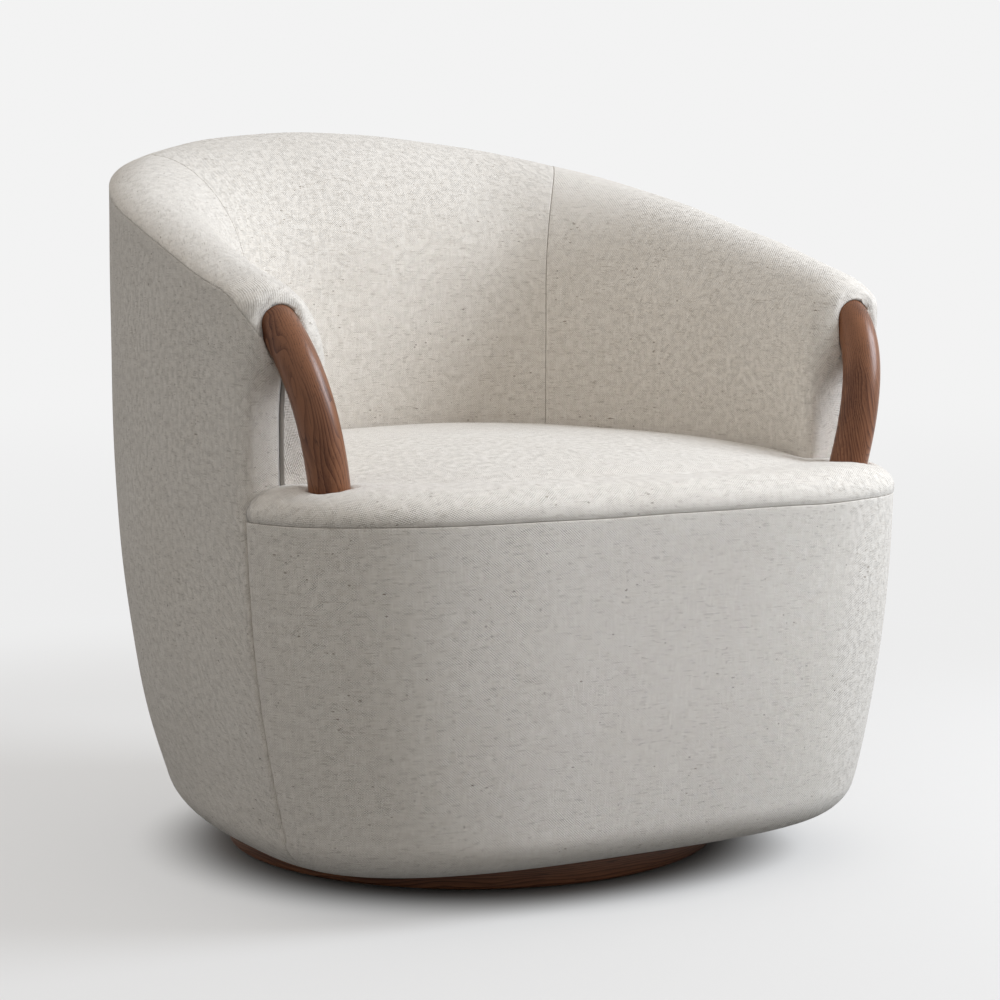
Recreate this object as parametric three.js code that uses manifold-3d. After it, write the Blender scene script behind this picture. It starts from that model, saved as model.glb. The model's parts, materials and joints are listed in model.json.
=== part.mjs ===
import * as THREE from 'three';
import { mergeVertices } from 'three/addons/utils/BufferGeometryUtils.js';
import Module from 'manifold-3d';

// A swivel barrel chair in millimetres, +Z up. The origin is on the floor on the swivel's axis.
// The chair faces -Y, and +X is on the right of someone who looks at its front.

const wasm = await Module();
wasm.setup();

// Barrel: its plan at the top and at the bottom, as two half superellipses that meet at the widest line
const barrel = {
  halfWidth: 375,
  frontReach: 243.9,
  backReach: 489.8,
  frontSquareShare: 3.387,
  backSquareShare: 2.733,
  footHalfWidth: 330.2,
  footFrontReach: 220.9,
  footBackReach: 422.8,
  footFrontSquareShare: 3.04,
  footBackSquareShare: 2.357,
  fullPlanHeight: 542.5,
  taperShare: 2.888,
  footRoundRadius: 35.4,
};

// Rim: its height at the arm fronts and at the middle of the back
const rim = {
  armHeight: 593.6,
  backHeight: 764,
  startSlopeShare: 1.28,
  seamDrop: 15,
  seamGap: 0.8,
  armInnerDrop: 72,
  backInnerDrop: 165,
  crestInset: 34,
  outerCrownShare: 1.5,
  innerCrownShare: 2,
};

// Wall: what lies in it from outside to inside
const wall = {
  armFrontY: -222,
  outerPad: 22,
  ply: 14,
  armThickness: 92,
  backThickness: 164,
  thickenEndShare: 0.85,
  layerGap: 0.5,
  plyTopDrop: 35,
  plyFrontSetback: 12.5,
  hookSetback: 13.5,
  wrapDepth: 11.5,
  wrapInset: 38.5,
  slitWidth: 2.5,
  creaseRadius: 5,
  outerEndRadius: 14,
  innerEndRadius: 20,
  topEndRadius: 35,
  seamHalfGap: 0.3,
};

// Seat: heights of the sewn seam and of the crown
const seat = {
  seamHeight: 376,
  edgeRollRadius: 30,
  edgeLift: 9,
  sideBulge: 1.5,
  crownHeight: 20,
  edgeRise: 38,
  gap: 0.3,
  wallGap: 0.6,
  apronThickness: 26,
  deckThickness: 12,
  deckInset: 28,
  frontGap: 0.4,
};

// Swivel base, from the floor up
const base = {
  glideStand: 3,
  glideRadius: 14,
  glideRecess: 1.5,
  plinthRadius: 261,
  plinthWall: 22,
  plinthEdgeRadius: 3,
  ledgeHeight: 5,
  ledgeWidth: 14,
  boardThickness: 15,
  fit: 0.3,
  plateSide: 300,
  plateCorner: 14,
  plateThickness: 3,
  plateHoleInset: 20,
  ballDiameter: 12,
  ballCircle: 112,
  raceGap: 1.5,
  raceWall: 4,
  raceHeight: 7,
  cageThickness: 3,
  cageHalfWidth: 9.5,
  pinRadius: 7,
  pinGap: 0.7,
  pinHeadRadius: 12,
  pinHeadThickness: 2.5,
  plinthClearance: 3,
};
const ballCount = 6;
const glideCount = 4;

// Carcass of the seat
const frame = {
  boardThickness: 18,
  boardInset: 28.5,
  frontPanelThickness: 12,
  railDrop: 26,
  railHeight: 50,
  railWidth: 25,
  rearRailHalfAngleShare: 0.2,
  frontRailInset: 150,
  blockHeight: 58,
  blockInset: 40.6,
  blockFrontReach: 60,
};
const springCount = 4;
const spring = {
  wireRadius: 1.9,
  spacing: 118,
  amplitude: 24,
  halfWaveLength: 38,
  turnShare: 0.28,
};
const clip = { width: 16, length: 12, thickness: 1.5, gap: 0.3, slack: 1.4, railShare: 0.6 };
const dustCover = { thickness: 0.8, inset: 32, holeRadius: 222 };

// Wooden arms: the middle line of the right one, from its tenon in the arm down to its foot in the seat.
// Insets are from the widest line, drops from the rim, and the ankle's rise is from the seat's seam
const arm = {
  radius: 19.4,
  tenonInset: 46,
  tenonSetback: 36,
  tenonDrop: 26.7,
  shoulderInset: 34.1,
  shoulderSetback: 6,
  shoulderDrop: 24,
  kneeInset: 53.2,
  kneeReach: 61.6,
  kneeDrop: 67.6,
  ankleInset: 77,
  ankleReach: 38.7,
  ankleRise: 19,
  tenonOverrun: 14,
  footOverrun: 80,
  footBite: 20,
  socketGap: 0.4,
  boltRadius: 4,
  boltLength: 62,
  boltBite: 26,
};
const armBlock = { length: 46, height: 44, width: 24, gap: 0.4 };

// Fasteners
const screw = { radius: 2.4, headRadius: 4.6, headThickness: 2.2, bite: 12, gap: 0.3 };
const bolt = { radius: 4, headRadius: 7, headThickness: 2.6, bite: 14, gap: 0.4 };

// How finely the shapes are divided
const planSteps = 48;
const roundSteps = 32;
const smallSteps = 10;
const screwSteps = 8;
const frontSteps = 22;
const backAngleSteps = 20;
const padSeamStep = 6;
const lowLevelShares = [0, 0.22, 0.55, 1];
const highLevelShares = [0, 0.26, 0.57];
const endDistanceShares = [0, 0.04, 0.15, 0.58, 1, 1.85];
const armSteps = 20;
const armSides = 14;
const springSteps = 40;
const wireSteps = 2;
const cornerSteps = 3;
const pinSteps = 14;
const ballSteps = 6;
const halvings = 40;
const outlineTurn = 0.0005;
const stationTurn = 0.02;
const footRoundShares = [0, 0.12, 0.35, 0.65];
const outerCrownShares = [0, 0.3, 0.55, 0.8];
const innerCrownShares = [0, 0.18, 0.36, 0.54, 0.7, 0.86];
const rollShares = [0.28, 0.55, 0.8, 1];
const crownRingShares = [0.88, 0.7, 0.45, 0.2];
const overrun = 5;
const mergeGap = 0.0001;
const levelGap = 1;

// Heights that follow from the stack of the swivel
const plinthBoardBottom = base.glideStand + base.ledgeHeight;
const plinthBoardTop = plinthBoardBottom + base.boardThickness;
const lowerPlateTop = plinthBoardTop + base.plateThickness;
const ballCentre = lowerPlateTop + base.fit + base.ballDiameter / 2;
const upperPlateBottom = ballCentre + base.ballDiameter / 2 + base.fit;
const boardBottom = upperPlateBottom + base.plateThickness;
const boardTop = boardBottom + frame.boardThickness;
const bodyBottom = boardBottom - dustCover.thickness;
const plinthTop = bodyBottom - base.plinthClearance;
const widestY = (barrel.frontReach - barrel.backReach) / 2;
const railTop = seat.seamHeight - frame.railDrop;
const railBottom = railTop - frame.railHeight;
const edgeTop = seat.seamHeight + seat.edgeRise;
const plyOuter = wall.outerPad + wall.layerGap;
const plyInner = plyOuter + wall.ply;
const padOuter = plyInner + wall.layerGap;
const seamAngle = Math.PI / 2 + (Math.PI * padSeamStep) / backAngleSteps;
const endDistances = [
  ...endDistanceShares.map((share) => share * wall.topEndRadius),
  wall.wrapDepth,
  wall.plyFrontSetback,
  wall.hookSetback,
].sort((a, b) => a - b);

// Plan of the barrel

function superPoint(angle, halfWidth, front, back, frontShare, backShare) {
  const s = Math.sin(angle);
  const c = Math.cos(angle);
  const power = c > 0 ? frontShare : backShare;
  const reach = c > 0 ? front : back;
  const sum = (Math.abs(s) / halfWidth) ** power + (Math.abs(c) / reach) ** power;
  const radius = sum ** (-1 / power);
  return new THREE.Vector2(radius * s, widestY - radius * c);
}

function outlinePoint(angle, height) {
  const top = superPoint(angle, barrel.halfWidth, barrel.frontReach, barrel.backReach,
    barrel.frontSquareShare, barrel.backSquareShare);
  const foot = superPoint(angle, barrel.footHalfWidth, barrel.footFrontReach, barrel.footBackReach,
    barrel.footFrontSquareShare, barrel.footBackSquareShare);
  const drop = (barrel.fullPlanHeight - height) / (barrel.fullPlanHeight - bodyBottom);
  const mix = THREE.MathUtils.clamp(drop, 0, 1) ** barrel.taperShare;
  return top.lerp(foot, mix);
}

// A point that lies inwards of the outline by the inset, square to it
function insetPoint(angle, height, inset) {
  const point = outlinePoint(angle, height);
  const ahead = outlinePoint(angle + outlineTurn, height);
  const behind = outlinePoint(angle - outlineTurn, height);
  const along = ahead.sub(behind).normalize();
  return new THREE.Vector2(point.x - along.y * inset, point.y + along.x * inset);
}

// How far the rounded foot edge draws in at a height
function footInset(height) {
  const radius = barrel.footRoundRadius;
  const depth = THREE.MathUtils.clamp((bodyBottom + radius - height) / radius, 0, 1);
  return radius * (1 - Math.sqrt(1 - depth * depth));
}

// Angle at which the inset outline crosses a line across the chair, on the right-hand side
function angleAtY(y, height, inset) {
  let low = 0;
  let high = Math.PI / 2;
  for (let i = 0; i < halvings; i += 1) {
    const middle = (low + high) / 2;
    if (insetPoint(middle, height, inset).y < y) low = middle;
    else high = middle;
  }
  return (low + high) / 2;
}

// Share of the way round the rim from the arm front, 0, to the middle of the back, 1
const arcTable = [];
const arcSteps = 400;
const armFrontAngle = angleAtY(wall.armFrontY, barrel.fullPlanHeight, 0);
for (let i = 0, length = 0, last = null; i <= arcSteps; i += 1) {
  const angle = armFrontAngle + ((Math.PI - armFrontAngle) * i) / arcSteps;
  const point = outlinePoint(angle, barrel.fullPlanHeight);
  if (last) length += point.distanceTo(last);
  arcTable.push(length);
  last = point;
}

function arcShare(angle) {
  const folded = angle > Math.PI ? 2 * Math.PI - angle : angle;
  const place = ((folded - armFrontAngle) / (Math.PI - armFrontAngle)) * arcSteps;
  const index = THREE.MathUtils.clamp(Math.floor(place), 0, arcSteps - 1);
  const part = THREE.MathUtils.clamp(place - index, 0, 1);
  const length = THREE.MathUtils.lerp(arcTable[index], arcTable[index + 1], part);
  return length / arcTable[arcSteps];
}

function rimHeight(share) {
  const settle = THREE.MathUtils.smoothstep(share, 0, 1);
  const rise = settle + rim.startSlopeShare * share * (1 - share) ** 2;
  return rim.armHeight + (rim.backHeight - rim.armHeight) * rise;
}

// Size that grows from the arm fronts towards the back
function alongWall(share, atArm, atBack) {
  return THREE.MathUtils.lerp(atArm, atBack, THREE.MathUtils.smoothstep(share, 0, wall.thickenEndShare));
}

// Draw-in of a rounded end of a given radius, at a distance from the end
function endDraw(radius, distance) {
  if (distance >= radius) return 0;
  return radius - Math.sqrt(radius ** 2 - (radius - distance) ** 2);
}

// Stations round the wall. Each one places a point of its section, and carries its own sizes

function station(place, share, distance) {
  const draw = endDraw(wall.topEndRadius, distance);
  const thickness = alongWall(share, wall.armThickness, wall.backThickness);
  const innerDrop = alongWall(share, rim.armInnerDrop, rim.backInnerDrop);
  return { place, distance, top: rimHeight(share) - draw, thickness, innerDrop };
}

function sideStation(side, distance) {
  const y = wall.armFrontY + distance;
  const share = arcShare(angleAtY(y, barrel.fullPlanHeight, 0));
  const place = (inset, height) => {
    const point = insetPoint(angleAtY(y, height, inset), height, inset);
    return new THREE.Vector3(side * point.x, y, height);
  };
  return station(place, share, distance);
}

function angleStation(angle) {
  const place = (inset, height) => {
    const point = insetPoint(angle, height, inset);
    return new THREE.Vector3(point.x, point.y, height);
  };
  return station(place, arcShare(angle), Infinity);
}

function sideStations(side, fromDistance) {
  const kept = endDistances.filter((distance) => distance >= fromDistance);
  return kept.map((distance) => sideStation(side, distance));
}

function backStations(fromAngle, toAngle) {
  const angles = [fromAngle];
  for (let i = 0; i <= backAngleSteps; i += 1) {
    const angle = Math.PI / 2 + (Math.PI * i) / backAngleSteps;
    if (angle > fromAngle + stationTurn && angle < toAngle - stationTurn) angles.push(angle);
  }
  angles.push(toAngle);
  return angles.map(angleStation);
}

// Runs of stations, always in the order from the right arm front by the back to the left arm front

function rightRun(fromDistance, toAngle) {
  return [...sideStations(1, fromDistance), ...backStations(Math.PI / 2, toAngle)];
}

function leftRun(fromDistance, fromAngle) {
  return [...backStations(fromAngle, (3 * Math.PI) / 2), ...sideStations(-1, fromDistance).reverse()];
}

function wholeRun(fromDistance) {
  return [...rightRun(fromDistance, Math.PI), ...leftRun(fromDistance, Math.PI).slice(1)];
}

// Geometry helpers

function geometryFrom(points, faces) {
  const geometry = new THREE.BufferGeometry();
  const places = points.flatMap((p) => [p.x, p.y, p.z]);
  geometry.setAttribute('position', new THREE.Float32BufferAttribute(places, 3));
  geometry.setIndex(faces.flat());
  return outwards(geometry);
}

// Turns the faces over where they enclose a negative volume
function outwards(geometry) {
  const position = geometry.getAttribute('position');
  const index = geometry.getIndex().array;
  const a = new THREE.Vector3();
  const b = new THREE.Vector3();
  const c = new THREE.Vector3();
  let volume = 0;
  for (let i = 0; i < index.length; i += 3) {
    a.fromBufferAttribute(position, index[i]);
    b.fromBufferAttribute(position, index[i + 1]);
    c.fromBufferAttribute(position, index[i + 2]);
    volume += a.dot(b.cross(c));
  }
  if (volume < 0) {
    for (let i = 0; i < index.length; i += 3) [index[i], index[i + 1]] = [index[i + 1], index[i]];
  }
  return geometry;
}

// Triangles that close the end of a loft, worked out in the plane in which the end lies
function capFaces(section, first) {
  const low = section.reduce((sum, p) => sum.add(p), new THREE.Vector3()).divideScalar(section.length);
  const across = new THREE.Vector2(section[0].x - low.x, section[0].y - low.y);
  for (const p of section) {
    const spoke = new THREE.Vector2(p.x - low.x, p.y - low.y);
    if (spoke.length() > across.length()) across.copy(spoke);
  }
  across.normalize();
  const flat = section.map((p) => new THREE.Vector2(p.x * across.x + p.y * across.y, p.z));
  const clockwise = THREE.ShapeUtils.isClockWise(flat);
  const order = flat.map((_, i) => (clockwise ? flat.length - 1 - i : i));
  const faces = THREE.ShapeUtils.triangulateShape(order.map((i) => flat[i]), []);
  return faces.map((face) => {
    const [a, b, c] = face.map((i) => order[i] + first);
    return clockwise ? [a, c, b] : [a, b, c];
  });
}

// A solid through sections that all have the same number of points, with both ends closed
function loft(sections) {
  const count = sections[0].length;
  const points = sections.flat();
  const faces = [];
  for (let i = 0; i < sections.length - 1; i += 1) {
    for (let j = 0; j < count; j += 1) {
      const next = (j + 1) % count;
      const here = i * count;
      const there = here + count;
      faces.push([here + j, here + next, there + next], [here + j, there + next, there + j]);
    }
  }
  const last = (sections.length - 1) * count;
  faces.push(...capFaces(sections[0], 0).map(([a, b, c]) => [a, c, b]));
  faces.push(...capFaces(sections[sections.length - 1], last));
  return geometryFrom(points, faces);
}

// A solid of closed rings stacked from the bottom up, each end closed by a fan
function stack(rings) {
  const count = rings[0].length;
  const points = rings.flat();
  const faces = [];
  for (let i = 0; i < rings.length - 1; i += 1) {
    for (let j = 0; j < count; j += 1) {
      const next = (j + 1) % count;
      const here = i * count;
      const there = here + count;
      faces.push([here + j, here + next, there + next], [here + j, there + next, there + j]);
    }
  }
  for (const [ring, up] of [[0, false], [rings.length - 1, true]]) {
    const middle = points.length;
    const centre = rings[ring].reduce((sum, p) => sum.add(p), new THREE.Vector3()).divideScalar(count);
    points.push(centre);
    for (let j = 0; j < count; j += 1) {
      const here = ring * count + j;
      const next = ring * count + ((j + 1) % count);
      faces.push(up ? [here, next, middle] : [next, here, middle]);
    }
  }
  return geometryFrom(points, faces);
}

function wallPiece(stations, profile) {
  return loft(stations.map((s) => profile(s).map(([inset, height]) => s.place(inset, height))));
}

function planRing(height, inset) {
  const ring = [];
  for (let i = 0; i < planSteps; i += 1) {
    const angle = (2 * Math.PI * i) / planSteps;
    const point = insetPoint(angle, height, inset);
    ring.push(new THREE.Vector3(point.x, point.y, height));
  }
  return ring;
}

function shrunkRing(ring, share, height) {
  return ring.map((p) => new THREE.Vector3(p.x * share, p.y * share, height));
}

function cylinder(radius, bottom, top, x, y, steps = smallSteps) {
  const geometry = new THREE.CylinderGeometry(radius, radius, top - bottom, steps);
  geometry.rotateX(Math.PI / 2);
  geometry.translate(x, y, (bottom + top) / 2);
  return geometry;
}

function box(low, high) {
  const geometry = new THREE.BoxGeometry(high[0] - low[0], high[1] - low[1], high[2] - low[2]);
  geometry.translate((low[0] + high[0]) / 2, (low[1] + high[1]) / 2, (low[2] + high[2]) / 2);
  return geometry;
}

function lathe(profile, steps = roundSteps) {
  const points = [...profile, profile[0]].map(([radius, height]) => new THREE.Vector2(radius, height));
  const geometry = new THREE.LatheGeometry(points, steps);
  geometry.rotateX(Math.PI / 2);
  return geometry;
}

function solidOf(geometry) {
  const bare = geometry.clone();
  bare.deleteAttribute('normal');
  bare.deleteAttribute('uv');
  const merged = outwards(mergeVertices(bare, mergeGap));
  return new wasm.Manifold(new wasm.Mesh({
    numProp: 3,
    vertProperties: new Float32Array(merged.getAttribute('position').array),
    triVerts: new Uint32Array(merged.getIndex().array),
  }));
}

function geometryOf(solid) {
  const mesh = solid.getMesh();
  const geometry = new THREE.BufferGeometry();
  geometry.setAttribute('position', new THREE.BufferAttribute(new Float32Array(mesh.vertProperties), 3));
  geometry.setIndex(Array.from(mesh.triVerts));
  return geometry;
}

function cut(geometry, ...tools) {
  return geometryOf(tools.reduce((solid, tool) => solid.subtract(solidOf(tool)), solidOf(geometry)));
}

function intersected(geometry, ...others) {
  return geometryOf(others.reduce((solid, other) => solid.intersect(solidOf(other)), solidOf(geometry)));
}

function joined(geometry, ...others) {
  return geometryOf(others.reduce((solid, other) => solid.add(solidOf(other)), solidOf(geometry)));
}

function mirrored(geometry) {
  const copy = geometry.clone();
  copy.scale(-1, 1, 1);
  if (!copy.getIndex()) {
    copy.deleteAttribute('normal');
    copy.deleteAttribute('uv');
    return outwards(mergeVertices(copy, mergeGap));
  }
  return outwards(copy);
}

// Materials

const materials = {
  linen: { color: 0xd9d0c4, roughness: 0.95, metalness: 0 },
  walnut: { color: 0x6d3f28, roughness: 0.45, metalness: 0 },
  plywood: { color: 0xc9a877, roughness: 0.75, metalness: 0 },
  hardwood: { color: 0xb98f5f, roughness: 0.7, metalness: 0 },
  steel: { color: 0x9a9da1, roughness: 0.4, metalness: 1 },
  blackSteel: { color: 0x2c2d30, roughness: 0.5, metalness: 0.8 },
  nylon: { color: 0xd8d6cf, roughness: 0.6, metalness: 0 },
  felt: { color: 0x8f8a83, roughness: 1, metalness: 0 },
  cambric: { color: 0x1d1d1f, roughness: 0.95, metalness: 0 },
  glide: { color: 0x3a3a3c, roughness: 0.8, metalness: 0 },
};

const chair = new THREE.Group();

function add(name, geometry, material) {
  const mesh = new THREE.Mesh(geometry, new THREE.MeshStandardMaterial(materials[material]));
  mesh.name = name;
  chair.add(mesh);
}

// Plinth: a walnut ring, the board that it carries, and the glides under it

function buildPlinth() {
  const inner = base.plinthRadius - base.plinthWall;
  const ease = base.plinthEdgeRadius;
  const ringProfile = [
    [inner - base.ledgeWidth, base.glideStand],
    [base.plinthRadius - ease, base.glideStand],
    [base.plinthRadius, base.glideStand + ease],
    [base.plinthRadius, plinthTop - ease],
    [base.plinthRadius - ease, plinthTop],
    [inner, plinthTop],
    [inner, plinthBoardBottom],
    [inner - base.ledgeWidth, plinthBoardBottom],
  ];
  const glideBottoms = [];
  for (let i = 0; i < glideCount; i += 1) {
    const angle = Math.PI / 4 + (2 * Math.PI * i) / glideCount;
    const x = (base.plinthRadius - base.plinthWall) * Math.cos(angle);
    const y = (base.plinthRadius - base.plinthWall) * Math.sin(angle);
    const seatTop = base.glideStand + base.glideRecess;
    glideBottoms.push(cylinder(base.glideRadius + base.fit, 0, seatTop + base.fit, x, y));
    add(`floor_glide_${i + 1}`, cylinder(base.glideRadius, 0, seatTop, x, y), 'glide');
  }
  add('plinth_ring', cut(lathe(ringProfile, planSteps), ...glideBottoms), 'walnut');
  const board = cylinder(inner - base.fit, plinthBoardBottom, plinthBoardTop, 0, 0, planSteps);
  const holeEnd = plinthBoardTop - screw.bite - screw.gap;
  const screwHoles = plateHoles(screw.radius + screw.gap, holeEnd, plinthBoardTop + overrun);
  add('plinth_board', cut(board, ...screwHoles), 'plywood');
}

// Places of the four holes in the plates of the swivel
function plateCorners() {
  const reach = base.plateSide / 2 - base.plateHoleInset;
  return [[-reach, -reach], [reach, -reach], [reach, reach], [-reach, reach]];
}

function plateHoles(radius, bottom, top) {
  return plateCorners().map(([x, y]) => cylinder(radius, bottom, top, x, y, screwSteps));
}

function plate(bottom) {
  const half = base.plateSide / 2;
  const corner = base.plateCorner;
  const shape = new THREE.Shape();
  shape.moveTo(-half + corner, -half);
  shape.lineTo(half - corner, -half);
  shape.absarc(half - corner, -half + corner, corner, -Math.PI / 2, 0);
  shape.absarc(half - corner, half - corner, corner, 0, Math.PI / 2);
  shape.absarc(-half + corner, half - corner, corner, Math.PI / 2, Math.PI);
  shape.absarc(-half + corner, -half + corner, corner, Math.PI, Math.PI * 1.5);
  const settings = { depth: base.plateThickness, bevelEnabled: false, curveSegments: cornerSteps };
  const geometry = new THREE.ExtrudeGeometry(shape, settings);
  geometry.translate(0, 0, bottom);
  return geometry;
}

// A raised ring on a plate, which keeps the balls on their circle
function race(innerRadius, bottom, top) {
  const outer = innerRadius + base.raceWall;
  return lathe([[innerRadius, bottom], [outer, bottom], [outer, top], [innerRadius, top]]);
}

function buildSwivel() {
  const ballRadius = base.ballDiameter / 2;
  const sink = base.plateThickness / 2;
  const raceReach = base.cageHalfWidth + base.raceGap;
  const outerRace = race(base.ballCircle + raceReach, lowerPlateTop - sink, lowerPlateTop + base.raceHeight);
  const innerRadius = base.ballCircle - raceReach - base.raceWall;
  const innerRace = race(innerRadius, upperPlateBottom - base.raceHeight, upperPlateBottom + sink);
  const pinHole = cylinder(base.pinRadius + base.pinGap, plinthBoardTop - overrun, boardBottom + overrun, 0, 0);
  const lower = joined(plate(plinthBoardTop), outerRace);
  const screwHoles = plateHoles(screw.radius + screw.gap, plinthBoardTop - overrun, lowerPlateTop + overrun);
  add('swivel_lower_plate', cut(lower, pinHole, ...screwHoles), 'steel');
  const upper = joined(plate(upperPlateBottom), innerRace);
  const boltHoles = plateHoles(bolt.radius + bolt.gap, upperPlateBottom - overrun, boardBottom + overrun);
  add('swivel_upper_plate', cut(upper, pinHole, ...boltHoles), 'blackSteel');

  const cageBottom = ballCentre - base.cageThickness / 2;
  const cageTop = ballCentre + base.cageThickness / 2;
  const innerEdge = base.ballCircle - base.cageHalfWidth;
  const outerEdge = base.ballCircle + base.cageHalfWidth;
  const cageRing = lathe([
    [innerEdge, cageBottom],
    [outerEdge, cageBottom],
    [outerEdge, cageTop],
    [innerEdge, cageTop],
  ]);
  const pockets = [];
  for (let i = 0; i < ballCount; i += 1) {
    const angle = (2 * Math.PI * i) / ballCount;
    const x = base.ballCircle * Math.cos(angle);
    const y = base.ballCircle * Math.sin(angle);
    pockets.push(cylinder(ballRadius + base.fit, cageBottom - overrun, cageTop + overrun, x, y));
    const ball = new THREE.SphereGeometry(ballRadius, screwSteps, ballSteps);
    ball.rotateX(Math.PI / 2);
    ball.translate(x, y, ballCentre);
    add(`bearing_ball_${i + 1}`, ball, 'steel');
  }
  add('ball_cage', cut(cageRing, ...pockets), 'nylon');

  const headTop = lowerPlateTop + base.fit + base.pinHeadThickness;
  const pinProfile = [
    [0, plinthBoardTop + base.fit],
    [base.pinRadius, plinthBoardTop + base.fit],
    [base.pinRadius, lowerPlateTop + base.fit],
    [base.pinHeadRadius, lowerPlateTop + base.fit],
    [base.pinHeadRadius, headTop],
    [base.pinRadius, headTop],
    [base.pinRadius, boardBottom - base.fit],
    [0, boardBottom - base.fit],
  ];
  add('swivel_pin', latheSolid(pinProfile), 'steel');
}

// A turned solid whose profile starts and ends on the axis
function latheSolid(profile, steps = pinSteps) {
  const points = profile.map(([radius, height]) => new THREE.Vector2(radius, height));
  const geometry = new THREE.LatheGeometry(points, steps);
  geometry.rotateX(Math.PI / 2);
  return geometry;
}

// A screw with its head above or below the plate that it holds
function fastener(size, seatHeight, tipHeight, x, y) {
  const up = seatHeight > tipHeight ? 1 : -1;
  const profile = [
    [0, tipHeight],
    [size.radius, tipHeight],
    [size.radius, seatHeight],
    [size.headRadius, seatHeight],
    [size.headRadius, seatHeight + up * size.headThickness],
    [0, seatHeight + up * size.headThickness],
  ];
  const geometry = latheSolid(profile, screwSteps);
  geometry.translate(x, y, 0);
  return outwardsOf(geometry);
}

function outwardsOf(geometry) {
  const bare = geometry.clone();
  bare.deleteAttribute('normal');
  bare.deleteAttribute('uv');
  return outwards(mergeVertices(bare, mergeGap));
}

function buildFasteners() {
  plateCorners().forEach(([x, y], i) => {
    const plateScrew = fastener(screw, lowerPlateTop + screw.gap, plinthBoardTop - screw.bite, x, y);
    const plateBolt = fastener(bolt, upperPlateBottom - bolt.gap, boardBottom + bolt.bite, x, y);
    add(`plate_screw_${i + 1}`, plateScrew, 'steel');
    add(`plate_bolt_${i + 1}`, plateBolt, 'blackSteel');
  });
}

// Heights that every face of the wall shares, so that faces that lie side by side run side by side
const sharedHeights = [
  ...lowLevelShares.map((share) => THREE.MathUtils.lerp(boardTop, railBottom, share)),
  ...highLevelShares.map((share) => THREE.MathUtils.lerp(railTop, barrel.fullPlanHeight, share)),
];

function levels(bottom, top) {
  const inside = sharedHeights.filter((height) => height > bottom + levelGap);
  const count = inside.length;
  return [bottom, ...inside.map((height, i) => Math.min(height, top - (count - i) * levelGap)), top];
}

function faceUp(inset, bottom, top) {
  return levels(bottom, top).map((height) => [inset, height]);
}

function faceDown(inset, bottom, top) {
  return faceUp(inset, bottom, top).reverse();
}

// Wooden arms

function armPoint(inset, setback, height) {
  return new THREE.Vector3(barrel.halfWidth - inset, wall.armFrontY + setback, height);
}

const tenon = armPoint(arm.tenonInset, arm.tenonSetback, rim.armHeight - arm.tenonDrop);

function armPath() {
  const shoulder = armPoint(arm.shoulderInset, arm.shoulderSetback, rim.armHeight - arm.shoulderDrop);
  const knee = armPoint(arm.kneeInset, -arm.kneeReach, rim.armHeight - arm.kneeDrop);
  const ankle = armPoint(arm.ankleInset, -arm.ankleReach, seat.seamHeight + arm.ankleRise);
  const back = tenon.clone().sub(shoulder).normalize();
  const down = ankle.clone().sub(knee).normalize();
  const path = new THREE.CurvePath();
  path.add(new THREE.LineCurve3(tenon.clone().addScaledVector(back, arm.tenonOverrun), tenon));
  path.add(new THREE.CubicBezierCurve3(tenon, shoulder, knee, ankle));
  path.add(new THREE.LineCurve3(ankle, ankle.clone().addScaledVector(down, arm.footOverrun)));
  return path;
}

// The right arm's rod, cut square at its tenon and at its foot, or its hole, which is larger by a clearance
function armRod(clearance) {
  const circle = new THREE.Shape();
  circle.absarc(0, 0, arm.radius + clearance, 0, 2 * Math.PI);
  const rod = new THREE.ExtrudeGeometry(circle, {
    steps: armSteps,
    extrudePath: armPath(),
    curveSegments: armSides / 2,
    bevelEnabled: false,
  });
  const far = barrel.halfWidth * 2;
  const tenonEnd = tenon.y + clearance;
  const footEnd = railTop - arm.footBite - clearance;
  return intersected(rod, box([0, -far, footEnd], [far, tenonEnd, far]));
}

// The bolt that holds the tenon to its block lies along the chair
function armBolt(radius, front, back) {
  const geometry = new THREE.CylinderGeometry(radius, radius, back - front, smallSteps);
  geometry.translate(tenon.x, (front + back) / 2, tenon.z);
  return geometry;
}

function bothSides(geometry) {
  const whole = outwardsOf(geometry);
  return [whole, mirrored(whole)];
}

function addPair(name, geometry, material) {
  const [right, left] = bothSides(geometry);
  add(`${name}_left`, left, material);
  add(`${name}_right`, right, material);
}

const armHole = armRod(arm.socketGap);
const armHoles = bothSides(armHole);
const boltFront = tenon.y - arm.boltBite;
const boltBack = boltFront + arm.boltLength;

function blockShape(gap) {
  const front = tenon.y + arm.socketGap - gap;
  const back = front + armBlock.length + 2 * gap;
  const stations = [front, back].map((y) => sideStation(1, y - wall.armFrontY));
  const outer = plyInner + armBlock.gap - gap;
  const inner = plyInner + armBlock.gap + armBlock.width + gap;
  const bottom = tenon.z - armBlock.height / 2 - gap;
  const top = tenon.z + armBlock.height / 2 + gap;
  return wallPiece(stations, () => [[outer, bottom], [inner, bottom], [inner, top], [outer, top]]);
}

function buildArms() {
  const boltHole = armBolt(arm.boltRadius + arm.socketGap, boltFront - arm.socketGap, boltBack + arm.socketGap);
  addPair('arm', cut(armRod(0), boltHole), 'walnut');
  addPair('arm_block', cut(blockShape(0), boltHole), 'hardwood');
  addPair('arm_bolt', armBolt(arm.boltRadius, boltFront, boltBack), 'steel');
}

// Carcass of the seat: boards, panels, rails and corner blocks

function boardOf(bottom, top, inset) {
  return stack([planRing(bottom, inset), planRing(top, inset)]);
}

function railProfile(outer) {
  const inner = outer + frame.railWidth;
  return [[outer, railBottom], [inner, railBottom], [inner, railTop], [outer, railTop]];
}

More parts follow.
